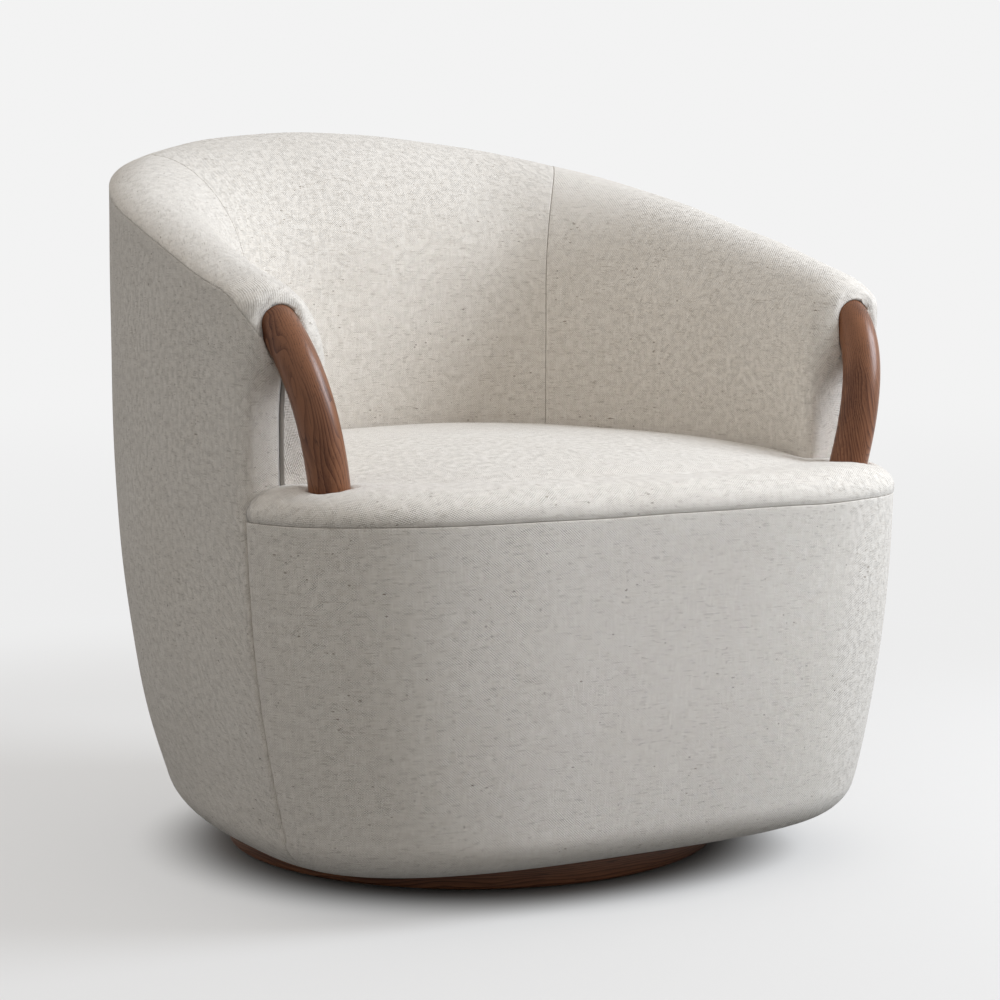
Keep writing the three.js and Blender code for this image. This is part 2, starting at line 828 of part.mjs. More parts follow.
function frontPiece(setback, profile) {
  const edgeY = wall.armFrontY - setback;
  const sections = [];
  for (let i = 0; i <= frontSteps; i += 1) {
    sections.push(profile.map(([inset, height]) => {
      const edge = angleAtY(edgeY, height, inset);
      const point = insetPoint(edge * (1 - (2 * i) / frontSteps), height, inset);
      return new THREE.Vector3(point.x, point.y, height);
    }));
  }
  return loft(sections);
}

const frontPanelOuter = seat.apronThickness + wall.layerGap;
const frontPanelInner = frontPanelOuter + frame.frontPanelThickness;
const frontRailOuter = frontPanelInner + wall.layerGap;
const frontRailHalfWidth = barrel.halfWidth - frame.frontRailInset;

function cornerBlock() {
  const bottom = railTop - frame.blockHeight;
  const inner = frontRailHalfWidth + seat.gap;
  const back = wall.armFrontY + wall.plyFrontSetback - seat.gap;
  const front = back - frame.blockFrontReach - arm.radius;
  const blank = box([inner, front, bottom], [barrel.halfWidth, back, railTop]);
  return cut(intersected(blank, boardOf(bottom, railTop, frame.blockInset)), armHole);
}

function buildCarcass() {
  const holeTop = boardBottom + bolt.bite + bolt.gap;
  const boltHoles = plateHoles(bolt.radius + bolt.gap, boardBottom - overrun, holeTop);
  add('base_board', cut(boardOf(boardBottom, boardTop, frame.boardInset), ...boltHoles), 'plywood');
  const opening = cylinder(dustCover.holeRadius, bodyBottom - overrun, boardBottom + overrun, 0, 0, roundSteps);
  add('dust_cover', cut(boardOf(bodyBottom, boardBottom, dustCover.inset), opening), 'cambric');

  const shell = wallPiece(wholeRun(wall.plyFrontSetback), (s) => {
    const top = s.top - wall.plyTopDrop;
    return [...faceUp(plyInner, boardTop, top), ...faceDown(plyOuter, boardTop, top)];
  });
  add('shell_frame', cut(shell, ...armHoles), 'plywood');
  add('front_panel', frontPiece(wall.layerGap, [
    ...faceUp(frontPanelInner, boardTop, railTop),
    ...faceDown(frontPanelOuter, boardTop, railTop),
  ]), 'plywood');

  const railEnd = Math.PI * (1 - frame.rearRailHalfAngleShare);
  const jointAngle = seat.gap / barrel.halfWidth;
  const sideEnd = railEnd - jointAngle;
  const wallRail = (stations) => wallPiece(stations, () => railProfile(padOuter));
  add('seat_rail_right', wallRail(rightRun(wall.plyFrontSetback, sideEnd)), 'hardwood');
  add('seat_rail_left', wallRail(leftRun(wall.plyFrontSetback, 2 * Math.PI - sideEnd)), 'hardwood');
  add('seat_rail_rear', wallRail(backStations(railEnd, 2 * Math.PI - railEnd)), 'hardwood');
  const far = barrel.halfWidth * 2;
  const middle = box([-frontRailHalfWidth, -far, 0], [frontRailHalfWidth, 0, far]);
  add('seat_rail_front', intersected(frontPiece(0, railProfile(frontRailOuter)), middle), 'hardwood');
  addPair('corner_block', cornerBlock(), 'hardwood');
}

// Springs across the seat, from the front rail to the rear one, each held by two clips

const deckBottom = seat.seamHeight - seat.gap - seat.deckThickness;
const springEndHeight = railTop + clip.thickness + clip.gap + spring.wireRadius;
const springTopHeight = deckBottom - clip.gap - spring.wireRadius;

// Where the inset outline crosses a line along the chair, at the front or at the back
function yAtX(x, height, inset, atBack) {
  let low = atBack ? Math.PI / 2 : 0;
  let high = atBack ? Math.PI : Math.PI / 2;
  for (let i = 0; i < halvings; i += 1) {
    const middle = (low + high) / 2;
    const wide = insetPoint(middle, height, inset).x > Math.abs(x);
    if (wide === atBack) low = middle;
    else high = middle;
  }
  return insetPoint((low + high) / 2, height, inset).y;
}

function springCurve(x, front, back) {
  const turns = Math.round((back - front) / spring.halfWaveLength) - 1;
  const wave = (back - front) / (turns + 1);
  const points = [[x - clip.width, front], [x + clip.width / 2, front]];
  for (let i = 1; i <= turns; i += 1) {
    const side = i % 2 ? 1 : -1;
    const y = front + i * wave;
    const reach = wave * spring.turnShare;
    points.push([x + side * spring.amplitude, y - reach], [x + side * spring.amplitude, y + reach]);
  }
  const side = turns % 2 ? -1 : 1;
  points.push([x - side * clip.width / 2, back], [x + side * clip.width, back]);
  const middle = (front + back) / 2;
  return new THREE.CatmullRomCurve3(points.map(([px, py]) => {
    const slope = (py - middle) / (front - middle);
    const height = springTopHeight - (springTopHeight - springEndHeight) * slope * slope;
    return new THREE.Vector3(px, py, height);
  }), false, 'centripetal');
}

// A clip in side view is a bent strip, open towards the middle of the seat
function clipShape(x, y, towards) {
  const room = spring.wireRadius + clip.gap;
  const outer = room + clip.thickness;
  const shape = new THREE.Shape();
  const back = -outer - clip.slack;
  const corners = [
    [back, -outer],
    [back + clip.length, -outer],
    [back + clip.length, -room],
    [back + clip.thickness, -room],
    [back + clip.thickness, room],
    [outer, room],
    [outer, outer],
    [back, outer],
  ];
  corners.forEach(([along, up], i) => (i ? shape.lineTo(along, up) : shape.moveTo(along, up)));
  const geometry = new THREE.ExtrudeGeometry(shape, { depth: clip.width, bevelEnabled: false });
  geometry.translate(0, 0, -clip.width / 2);
  geometry.rotateX(Math.PI / 2);
  geometry.rotateZ(towards > 0 ? Math.PI / 2 : -Math.PI / 2);
  geometry.translate(x, y, springEndHeight);
  return geometry;
}

function buildSprings() {
  for (let i = 0; i < springCount; i += 1) {
    const x = (i - (springCount - 1) / 2) * spring.spacing;
    const onRail = frame.railWidth * clip.railShare;
    const front = yAtX(x, railTop, frontRailOuter + onRail, false);
    const back = yAtX(x, railTop, padOuter + onRail, true);
    const circle = new THREE.Shape();
    circle.absarc(0, 0, spring.wireRadius, 0, 2 * Math.PI);
    const wire = new THREE.ExtrudeGeometry(circle, {
      steps: springSteps,
      extrudePath: springCurve(x, front, back),
      curveSegments: wireSteps,
      bevelEnabled: false,
    });
    add(`seat_spring_${i + 1}`, wire, 'blackSteel');
    add(`spring_clip_front_${i + 1}`, clipShape(x, front, 1), 'steel');
    add(`spring_clip_rear_${i + 1}`, clipShape(x, back, -1), 'steel');
  }
}

// Upholstery

// Heights up the outside, from the turned-under foot edge to the top
function outsideHeights(inset, top) {
  const radius = barrel.footRoundRadius;
  const turn = Math.min(inset / radius, 1);
  const start = bodyBottom + radius * (1 - Math.sqrt(1 - (1 - turn) ** 2));
  const rounds = footRoundShares.map((share) => THREE.MathUtils.lerp(start, bodyBottom + radius, share));
  const above = levels(bodyBottom + radius, top);
  return [...rounds, ...above];
}

function outerPanelProfile(s) {
  const wrapped = s.distance <= wall.wrapDepth;
  const inner = wrapped ? wall.wrapInset : wall.outerPad;
  const top = s.top - rim.seamDrop;
  const outside = outsideHeights(wall.outerPad, top).map((height) => {
    const radius = height > seat.seamHeight ? wall.outerEndRadius : wall.creaseRadius;
    return [Math.min(footInset(height) + endDraw(radius, s.distance), wall.outerPad - levelGap), height];
  });
  const start = outside[0][1];
  const inside = faceDown(inner, boardTop + levelGap, top - seat.gap);
  return [...outside, ...inside, [wall.outerPad, boardTop + seat.gap], [wall.outerPad, start + levelGap]];
}

// Quarter of a crown, from its crest at share 0 to its edge at share 1
function crownArc(crest, edge, share, power) {
  const angle = (share * Math.PI) / 2;
  const across = Math.sin(angle) ** (2 / power);
  const up = Math.cos(angle) ** (2 / power);
  return [THREE.MathUtils.lerp(crest[0], edge[0], across), THREE.MathUtils.lerp(edge[1], crest[1], up)];
}

function innerPadProfile(s) {
  const wrapped = s.distance <= wall.plyFrontSetback;
  const thickness = s.thickness - endDraw(wall.innerEndRadius, s.distance);
  const outer = endDraw(wall.outerEndRadius, s.distance) + wall.seamHalfGap;
  const back = wrapped ? wall.wrapInset + wall.slitWidth : padOuter;
  const seam = s.top - rim.seamDrop + rim.seamGap;
  const hook = wrapped ? seam : s.top - wall.plyTopDrop + wall.layerGap;
  const shoulder = s.top - s.innerDrop;
  const crest = [rim.crestInset, s.top];
  const innerArc = innerCrownShares.map((share) => {
    return crownArc(crest, [thickness, shoulder], share, rim.innerCrownShare);
  });
  const outerArc = outerCrownShares.map((share) => crownArc(crest, [outer, seam], share, rim.outerCrownShare));
  return [
    ...faceUp(thickness, deckBottom, shoulder),
    ...innerArc.slice(1).reverse(),
    crest,
    ...outerArc.slice(1),
    [outer, seam],
    [plyOuter, seam + (wrapped ? seat.gap : 0)],
    [wrapped ? plyInner : plyOuter, wrapped ? seam + seat.gap : hook],
    ...faceDown(back, deckBottom, hook),
  ];
}

function buildUpholstery() {
  const panel = wallPiece(wholeRun(0), outerPanelProfile);
  add('outer_panel', cut(panel, ...armHoles), 'linen');

  const seamTurn = wall.seamHalfGap / barrel.halfWidth;
  const pocket = blockShape(armBlock.gap);
  const cutters = [...armHoles, ...bothSides(pocket)];
  const innerPad = (stations) => cut(wallPiece(stations, innerPadProfile), ...cutters);
  const leftSeamAngle = 2 * Math.PI - seamAngle;
  const backRun = backStations(seamAngle + seamTurn, leftSeamAngle - seamTurn);
  add('inner_pad_right', innerPad(rightRun(0, seamAngle - seamTurn)), 'linen');
  add('inner_pad_left', innerPad(leftRun(0, leftSeamAngle + seamTurn)), 'linen');
  add('inner_pad_back', innerPad(backRun), 'linen');

  const apronTop = seat.seamHeight - seat.gap;
  const outside = outsideHeights(seat.apronThickness, apronTop).map((height) => {
    return [Math.min(footInset(height), seat.apronThickness - levelGap), height];
  });
  const inside = faceDown(seat.apronThickness, boardTop, apronTop - seat.gap);
  const apronFoot = [seat.apronThickness, outside[0][1] + levelGap];
  add('seat_apron', frontPiece(seat.frontGap, [...outside, ...inside, apronFoot]), 'linen');

  const nearFront = sideStation(1, -seat.wallGap);
  const farFront = sideStation(-1, -seat.wallGap);
  const keepOut = wallPiece([nearFront, ...wholeRun(0), farFront], (s) => {
    const outer = -barrel.footRoundRadius;
    const inner = s.thickness + seat.wallGap;
    return [
      [inner, railBottom],
      [inner, railTop],
      [inner, barrel.fullPlanHeight],
      [outer, barrel.fullPlanHeight],
      [outer, railBottom],
    ];
  });
  const deck = boardOf(deckBottom, seat.seamHeight - seat.gap, seat.deckInset);
  add('deck_pad', cut(deck, keepOut, ...armHoles), 'felt');
  add('seat_cushion', cut(cushion(), keepOut, ...armHoles), 'linen');
}

// The seat cushion before it is cut to the wall: a rolled edge all round and a crowned top
function cushion() {
  const seam = seat.seamHeight;
  const bulge = planRing(seam + seat.edgeLift, -seat.sideBulge);
  const rings = [planRing(seam, 0), bulge];
  const rise = edgeTop - seam - seat.edgeLift;
  for (const share of rollShares) {
    const angle = (share * Math.PI) / 2;
    const inset = seat.edgeRollRadius * (1 - Math.cos(angle)) - seat.sideBulge;
    rings.push(planRing(seam + seat.edgeLift + rise * Math.sin(angle), inset));
  }
  const edge = rings[rings.length - 1];
  for (const share of crownRingShares) {
    rings.push(shrunkRing(edge, share, edgeTop + seat.crownHeight * (1 - share * share)));
  }
  return stack(rings);
}

buildPlinth();
buildSwivel();
buildFasteners();
buildCarcass();
buildSprings();
buildArms();
buildUpholstery();

export default chair;
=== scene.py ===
import json
import math

import bmesh
import bpy
import numpy as np
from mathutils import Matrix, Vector
from mathutils.geometry import delaunay_2d_cdt


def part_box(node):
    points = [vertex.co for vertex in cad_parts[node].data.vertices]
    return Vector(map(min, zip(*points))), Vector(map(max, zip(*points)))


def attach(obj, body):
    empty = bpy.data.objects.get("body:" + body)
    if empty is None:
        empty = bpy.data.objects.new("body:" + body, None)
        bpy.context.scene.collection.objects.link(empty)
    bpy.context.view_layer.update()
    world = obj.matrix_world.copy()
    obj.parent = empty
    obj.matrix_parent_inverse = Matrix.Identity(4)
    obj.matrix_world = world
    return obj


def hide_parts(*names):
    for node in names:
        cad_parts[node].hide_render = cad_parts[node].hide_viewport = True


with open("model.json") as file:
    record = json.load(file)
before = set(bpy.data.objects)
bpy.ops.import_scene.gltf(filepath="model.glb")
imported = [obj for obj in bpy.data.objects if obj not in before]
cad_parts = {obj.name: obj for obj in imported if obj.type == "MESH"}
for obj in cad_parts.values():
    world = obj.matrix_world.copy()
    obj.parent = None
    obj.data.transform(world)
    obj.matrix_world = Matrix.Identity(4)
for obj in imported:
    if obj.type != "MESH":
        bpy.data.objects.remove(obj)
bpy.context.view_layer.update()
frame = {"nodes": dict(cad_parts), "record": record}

nodes = frame["nodes"]

# Camera at the photograph's viewing angle

cameraView = {
    "place": (-1.2568, -2.1761, 0.6014),
    "turn": 0.536,  # from +Y towards +X, radians
    "dip": 0.096,  # downwards, radians
    "lens": 85.0,
}


def makeCamera():
    data = bpy.data.cameras.new("photoCamera")
    data.lens = cameraView["lens"]
    camera = bpy.data.objects.new("photoCamera", data)
    camera.location = cameraView["place"]
    camera.rotation_euler = (math.pi / 2 - cameraView["dip"], 0, -cameraView["turn"])
    bpy.context.scene.collection.objects.link(camera)
    bpy.context.scene.camera = camera


# Barrel: two half superellipses that meet at the widest line, drawn in towards the foot

barrel = {
    "halfWidth": 0.375,
    "frontReach": 0.2439,
    "backReach": 0.4898,
    "frontSquare": 3.387,
    "backSquare": 2.733,
    "footHalfWidth": 0.3302,
    "footFrontReach": 0.2209,
    "footBackReach": 0.4228,
    "footFrontSquare": 3.04,
    "footBackSquare": 2.357,
    "fullPlanHeight": 0.5425,
    "taper": 2.888,
    "footRound": 0.0354,
    "armFrontY": -0.222,
}
rim = {
    "armHeight": 0.5936,
    "backHeight": 0.764,
    "startSlope": 1.28,
    "seamDrop": 0.015,
    "crestInset": 0.034,
    "outerCrown": 1.5,
    "innerCrown": 2.0,
    "endRadius": 0.035,
}
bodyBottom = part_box("dust_cover")[0].z
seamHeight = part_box("seat_apron")[1].z + 0.0003
widestY = (barrel["frontReach"] - barrel["backReach"]) / 2


def superPoint(angle, halfWidth, front, back, frontPower, backPower):
    s, c = np.sin(angle), np.cos(angle)
    power = np.where(c > 0, frontPower, backPower)
    reach = np.where(c > 0, front, back)
    radius = ((np.abs(s) / halfWidth) ** power + (np.abs(c) / reach) ** power) ** (-1 / power)
    return np.stack([radius * s, widestY - radius * c], -1)


def outlinePoint(angle, height):
    b = barrel
    angle, height = np.broadcast_arrays(np.asarray(angle, float), np.asarray(height, float))
    reaches = b["halfWidth"], b["frontReach"], b["backReach"]
    footReaches = b["footHalfWidth"], b["footFrontReach"], b["footBackReach"]
    top = superPoint(angle, *reaches, b["frontSquare"], b["backSquare"])
    foot = superPoint(angle, *footReaches, b["footFrontSquare"], b["footBackSquare"])
    drop = (b["fullPlanHeight"] - height) / (b["fullPlanHeight"] - bodyBottom)
    mix = (np.clip(drop, 0, 1) ** b["taper"])[..., None]
    return top + (foot - top) * mix


def insetPoint(angle, height, inset):
    turn = 0.0005
    point = outlinePoint(angle, height)
    along = outlinePoint(angle + turn, height) - outlinePoint(angle - turn, height)
    along /= np.linalg.norm(along, axis=-1, keepdims=True)
    square = np.stack([-along[..., 1], along[..., 0]], -1)
    return point + square * np.asarray(inset, float)[..., None]


def angleAtY(y, height, inset):
    height, inset = np.broadcast_arrays(np.asarray(height, float), np.asarray(inset, float))
    low, high = np.zeros(height.shape), np.full(height.shape, math.pi / 2)
    for _ in range(34):
        middle = (low + high) / 2
        before = insetPoint(middle, height, inset)[..., 1] < y
        low, high = np.where(before, middle, low), np.where(before, high, middle)
    return (low + high) / 2


def smooth(x, start, end):
    x = np.clip((np.asarray(x, float) - start) / (end - start), 0, 1)
    return x * x * (3 - 2 * x)


# Draw-in of a rounded end of a given radius, at a distance from the end
def endDraw(radius, distance):
    near = np.clip(radius - np.asarray(distance, float), 0, radius)
    return radius - np.sqrt(np.maximum(radius**2 - near**2, 0))


# Lengths round the rim, from the right arm's front to the middle of the back

frontAngle = float(angleAtY(barrel["armFrontY"], barrel["fullPlanHeight"], 0))
arcAngles = np.linspace(frontAngle, math.pi, 4001)
arcPoints = outlinePoint(arcAngles, barrel["fullPlanHeight"])
arcLengths = np.concatenate([[0], np.cumsum(np.linalg.norm(np.diff(arcPoints, axis=0), axis=1))])
halfRun = arcLengths[-1]


def rimHeight(share):
    settle = share * share * (3 - 2 * share)
    rise = settle + rim["startSlope"] * share * (1 - share) ** 2
    return rim["armHeight"] + (rim["backHeight"] - rim["armHeight"]) * rise


def endDistance(run):
    angle = np.interp(run, arcLengths, arcAngles)
    return np.maximum(outlinePoint(angle, barrel["fullPlanHeight"])[..., 1] - barrel["armFrontY"], 0)


def rimTop(run):
    return rimHeight(run / halfRun) - endDraw(rim["endRadius"], endDistance(run))


def placeAt(run, inset, height):
    run, inset, height = np.broadcast_arrays(run, np.asarray(inset, float), np.asarray(height, float))
    angle = np.interp(run, arcLengths, arcAngles)
    onSide = angle < math.pi / 2
    if onSide.any():
        y = outlinePoint(angle, barrel["fullPlanHeight"])[..., 1]
        angle = np.where(onSide, angleAtY(y, height, inset), angle)
    flat = insetPoint(angle, height, inset)
    if onSide.any():
        flat[..., 1] = np.where(onSide, y, flat[..., 1])
    return np.concatenate([flat, height[..., None]], -1)


# Low, smooth unevenness of hand-made upholstery. One field of small moves for all the cloth, so that
# neighbours move together and no seam opens
padding = {"size": 0.15, "amount": 0.0005, "seed": 3, "waves": 14, "calmFrom": 0.004, "calmTo": 0.06}


def unevenness(points):
    p = padding
    rng = np.random.default_rng(p["seed"])
    total = np.zeros((len(points), 3))
    for wave in range(3 * p["waves"]):
        direction = rng.normal(size=3)
        direction *= 2 * math.pi / (p["size"] * rng.uniform(0.7, 1.8)) / np.linalg.norm(direction)
        total[:, wave % 3] += np.sin(points @ direction + rng.uniform(0, 2 * math.pi))
    calm = smooth(points[:, 2], bodyBottom + p["calmFrom"], bodyBottom + p["calmTo"])
    return p["amount"] * total / math.sqrt(p["waves"] / 2) * calm[:, None]


def makeUneven(piece):
    points = vertexArray(piece)
    setVertices(piece, points + unevenness(points))


# Mesh helpers


def link(name, mesh):
    piece = bpy.data.objects.new(name, mesh)
    bpy.context.scene.collection.objects.link(piece)
    return piece


def meshPiece(name, points, faces, uvs=None):
    mesh = bpy.data.meshes.new(name)
    mesh.from_pydata(np.asarray(points).tolist(), [], faces)
    if uvs is not None:
        layer = mesh.uv_layers.new(name="cloth")
        layer.data.foreach_set("uv", np.asarray(uvs, np.float32).ravel())
    mesh.polygons.foreach_set("use_smooth", [True] * len(mesh.polygons))
    mesh.update()
    piece = link(name, mesh)
    turnOutwards(piece)
    return piece


def turnOutwards(piece):
    bm = bmesh.new()
    bm.from_mesh(piece.data)
    bmesh.ops.recalc_face_normals(bm, faces=bm.faces)
    bm.to_mesh(piece.data)
    bm.free()
    piece.data.update()


def vertexArray(piece):
    flat = np.empty(len(piece.data.vertices) * 3, np.float32)
    piece.data.vertices.foreach_get("co", flat)
    return flat.reshape(-1, 3).astype(float)


def setVertices(piece, points):
    piece.data.vertices.foreach_set("co", np.asarray(points, np.float32).ravel())
    piece.data.update()


# A closed shell through sections. Point j of a section lies across from point n-1-j, so the two ends
# are closed by rows of faces that bulge a little.
def loftShell(name, sections, uvs, columns=7, bulge=0.0):
    sections, uvs = np.asarray(sections), np.asarray(uvs)
    rows, count = sections.shape[:2]
    half = count // 2
    points = [sections.reshape(-1, 3)]
    faces, faceUvs = [], []
    for i in range(rows - 1):
        for j in range(count):
            k = (j + 1) % count
            faces.append((i * count + j, i * count + k, (i + 1) * count + k, (i + 1) * count + j))
            faceUvs += [uvs[i, j], uvs[i, j + 1], uvs[i + 1, j + 1], uvs[i + 1, j]]
    total = rows * count
    for end, inner in ((0, 1), (rows - 1, rows - 2)):
        section = sections[end]
        outwards = section.mean(0) - sections[inner].mean(0)
        outwards /= np.linalg.norm(outwards)
        step = 1 if end else -1
        grid, gridUv = [], []
        for r in range(half):
            a, b = section[r], section[count - 1 - r]
            width = np.linalg.norm(b - a)
            ids, rowUvs = [end * count + r], [uvs[end, r]]
            if 0 < r < half - 1:
                for c in range(1, columns + 1):
                    t = c / (columns + 1)
                    lift = bulge * (4 * t * (1 - t)) ** 2 * min(1, width / 0.02)
                    points.append((a + (b - a) * t + outwards * lift)[None])
                    ids.append(total)
                    total += 1
                    rowUvs.append(uvs[end, r] + np.array([step * width * t, 0]))
            ids.append(end * count + count - 1 - r)
            rowUvs.append(uvs[end, r] + np.array([step * width, 0]))
            grid.append(ids)
            gridUv.append(rowUvs)
        for r in range(1, half - 2):
            for c in range(columns + 1):
                faces.append((grid[r][c], grid[r][c + 1], grid[r + 1][c + 1], grid[r + 1][c]))
                faceUvs += [gridUv[r][c], gridUv[r][c + 1], gridUv[r + 1][c + 1], gridUv[r + 1][c]]
        for short, long in ((0, 1), (half - 1, half - 2)):
            faces.append((*grid[short], *grid[long][::-1]))
            faceUvs += [*gridUv[short], *gridUv[long][::-1]]
    return meshPiece(name, np.concatenate(points), faces, np.array(faceUvs))


# Cloth coordinates in metres, measured along the surface itself
def surfaceUvs(sections, start=0.0, anchor=0, foot=0.0):
    sections = np.asarray(sections)
    loop = np.concatenate([sections, sections[:, :1]], 1)
    rows = loop.shape[0]
    up = np.cumsum(np.linalg.norm(np.diff(loop, axis=1), axis=-1), axis=1)
    up = np.concatenate([np.zeros((rows, 1)), up], 1) + foot
    along = np.cumsum(np.linalg.norm(np.diff(loop, axis=0), axis=-1), axis=0)
    along = np.concatenate([np.zeros((1, loop.shape[1])), along], 0)
    return np.stack([start + along - along[anchor], up], -1)


def pathLength(points):
    return np.concatenate([[0], np.cumsum(np.linalg.norm(np.diff(points, axis=0), axis=1))])


def stationRuns(start, end, step, startRound=0.0, endRound=0.0):
    fine = np.array([0, 0.03, 0.1, 0.2, 0.33, 0.48, 0.64, 0.82, 1.0])
    runs = [start + fine * startRound if startRound else np.array([start])]
    runs.append(end - fine * endRound if endRound else np.array([end]))
    low, high = start + startRound, end - endRound
    runs.append(np.linspace(low, high, max(2, int(round((high - low) / step)) + 1)))
    return np.unique(np.round(np.concatenate(runs), 6))


def mirrored(points):
    return np.asarray(points) * np.array([-1, 1, 1])


# Outer cover: from the turned-under foot up to the sewn seam, with rolled front edges

outerCover = {
    "thickness": 0.022,
    "footReach": 0.031,  # how far the cloth turns under the seat block
    "hem": 0.0006,  # thickness of the turned-under cloth
    "hemFade": 0.012,
    "wrapInset": 0.0390,
    "wrapDepth": 0.0115,
    "wrapFade": 0.002,
    "edgeRadius": 0.014,  # above the seat
    "creaseRadius": 0.005,  # beside the seat block
    "slitRadius": 0.0028,
    "seamRoll": 0.0012,
    "seamGap": 0.0008,
    "rows": 78,
    "gridStep": 0.007,
    "frontRound": 0.014,
    "frontColumns": 16,
    "frontBulge": 0.0012,
}


# Insets and heights of the padded outside from the turned-under foot up to a seam, and the heights
# of the hidden face across from them
def sideProfile(top, seamRoll, rows):
    c = outerCover
    radius = barrel["footRound"]
    turn = np.linspace(math.acos(1 - c["footReach"] / radius), 0, 14)[:-1]
    foot = bodyBottom + radius * (1 - np.sin(turn))
    roll = np.linspace(0, math.pi / 2, 6)[1:]
    straight = np.linspace(bodyBottom + radius, top - seamRoll, rows)
    heights = np.concatenate([foot, straight, top - seamRoll + seamRoll * np.sin(roll)])
    insets = np.concatenate([radius * (1 - np.cos(turn)), np.zeros(rows), seamRoll * (1 - np.cos(roll))])
    hidden = np.concatenate([foot + c["hem"] * np.sin(turn), heights[len(foot) :]])
    return turn, insets, heights, np.clip(hidden, 0, top - c["seamGap"])


def outerSection(run):
    c = outerCover
    distance = float(endDistance(run))
    top = float(rimTop(run)) - rim["seamDrop"]
    turn, base, heights, hiddenHeights = sideProfile(top, c["seamRoll"], c["rows"])
    above = smooth(heights, seamHeight - 0.004, seamHeight + 0.006)
    edge = c["creaseRadius"] + (c["edgeRadius"] - c["creaseRadius"]) * above
    drawn = np.array([float(endDraw(r, distance)) for r in edge])
    outside = base + drawn * (1 - smooth(base, c["hemFade"], c["thickness"]))
    foot = len(turn)
    outside[foot:] = np.minimum(outside[foot:], c["thickness"] - 0.001)
    wrap = 1 - float(smooth(distance, c["wrapDepth"], c["wrapDepth"] + c["wrapFade"]))
    inner = c["thickness"] + (c["wrapInset"] - c["thickness"]) * wrap
    inner -= float(endDraw(c["slitRadius"], distance)) if wrap > 0 else 0
    hidden = np.full(len(heights), inner)
    hidden[:foot] = outside[:foot] + c["hem"] * np.cos(turn)
    return np.concatenate([placeAt(run, outside, heights), placeAt(run, hidden, hiddenHeights)[::-1]])


def makeOuterCover():
    c = outerCover
    runs = stationRuns(0, halfRun, c["gridStep"], c["frontRound"])
    right = [outerSection(run) for run in runs]
    sections = right + [mirrored(s) for s in right[-2::-1]]
    uvs = surfaceUvs(sections, anchor=len(right) // 2)
    return loftShell("outerCover", sections, uvs, columns=c["frontColumns"], bulge=c["frontBulge"])


# Inside of the shell with the rolled rim, in three panels between two upright seams

innerPanel = {
    "armThickness": 0.092,
    "backThickness": 0.164,
    "armDrop": 0.072,
    "backDrop": 0.165,
    "thickenEnd": 0.85,
    "hiddenInset": 0.037,
    "slitInset": 0.0405,
    "slitDepth": 0.0125,
    "slitFade": 0.002,
    "slitRadius": 0.0022,
    "noseRadius": 0.020,
    "outerRadius": 0.014,
    "outerSeamRoll": 0.0012,
    "seamAngle": 145,  # upright seams of the inside, degrees from the front
    "seamDrift": 7,  # how far they come forward on their way down
    "driftStart": 0.020,
    "driftEnd": 0.153,
    "driftReach": 0.16,
    "seamGap": 0.0002,
    "seamRadius": 0.0012,
    "seamPull": 0.0007,
    "seamPullReach": 0.012,
    "seamRound": 0.004,
    "gridStep": 0.007,
    "frontRound": 0.020,
    "frontColumns": 34,
    "frontBulge": 0.0022,
    "clothStart": {"Right": 0.31, "Left": 1.73, "Back": 3.1},
}
seamRun = float(np.interp(math.radians(innerPanel["seamAngle"]), arcAngles, arcLengths))
seamEndAngle = math.radians(innerPanel["seamAngle"] - innerPanel["seamDrift"])
seamDriftRun = seamRun - float(np.interp(seamEndAngle, arcAngles, arcLengths))
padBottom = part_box("inner_pad_back")[0].z


# Size that grows from the arm fronts towards the back
def alongWall(run, atArm, atBack):
    return atArm + (atBack - atArm) * smooth(run / halfRun, 0, innerPanel["thickenEnd"])


def crownArc(crest, edge, share, power):
    angle = share * math.pi / 2
    across = np.sin(angle) ** (2 / power)
    up = np.cos(angle) ** (2 / power)
    return crest[0] + (edge[0] - crest[0]) * across, edge[1] + (crest[1] - edge[1]) * up


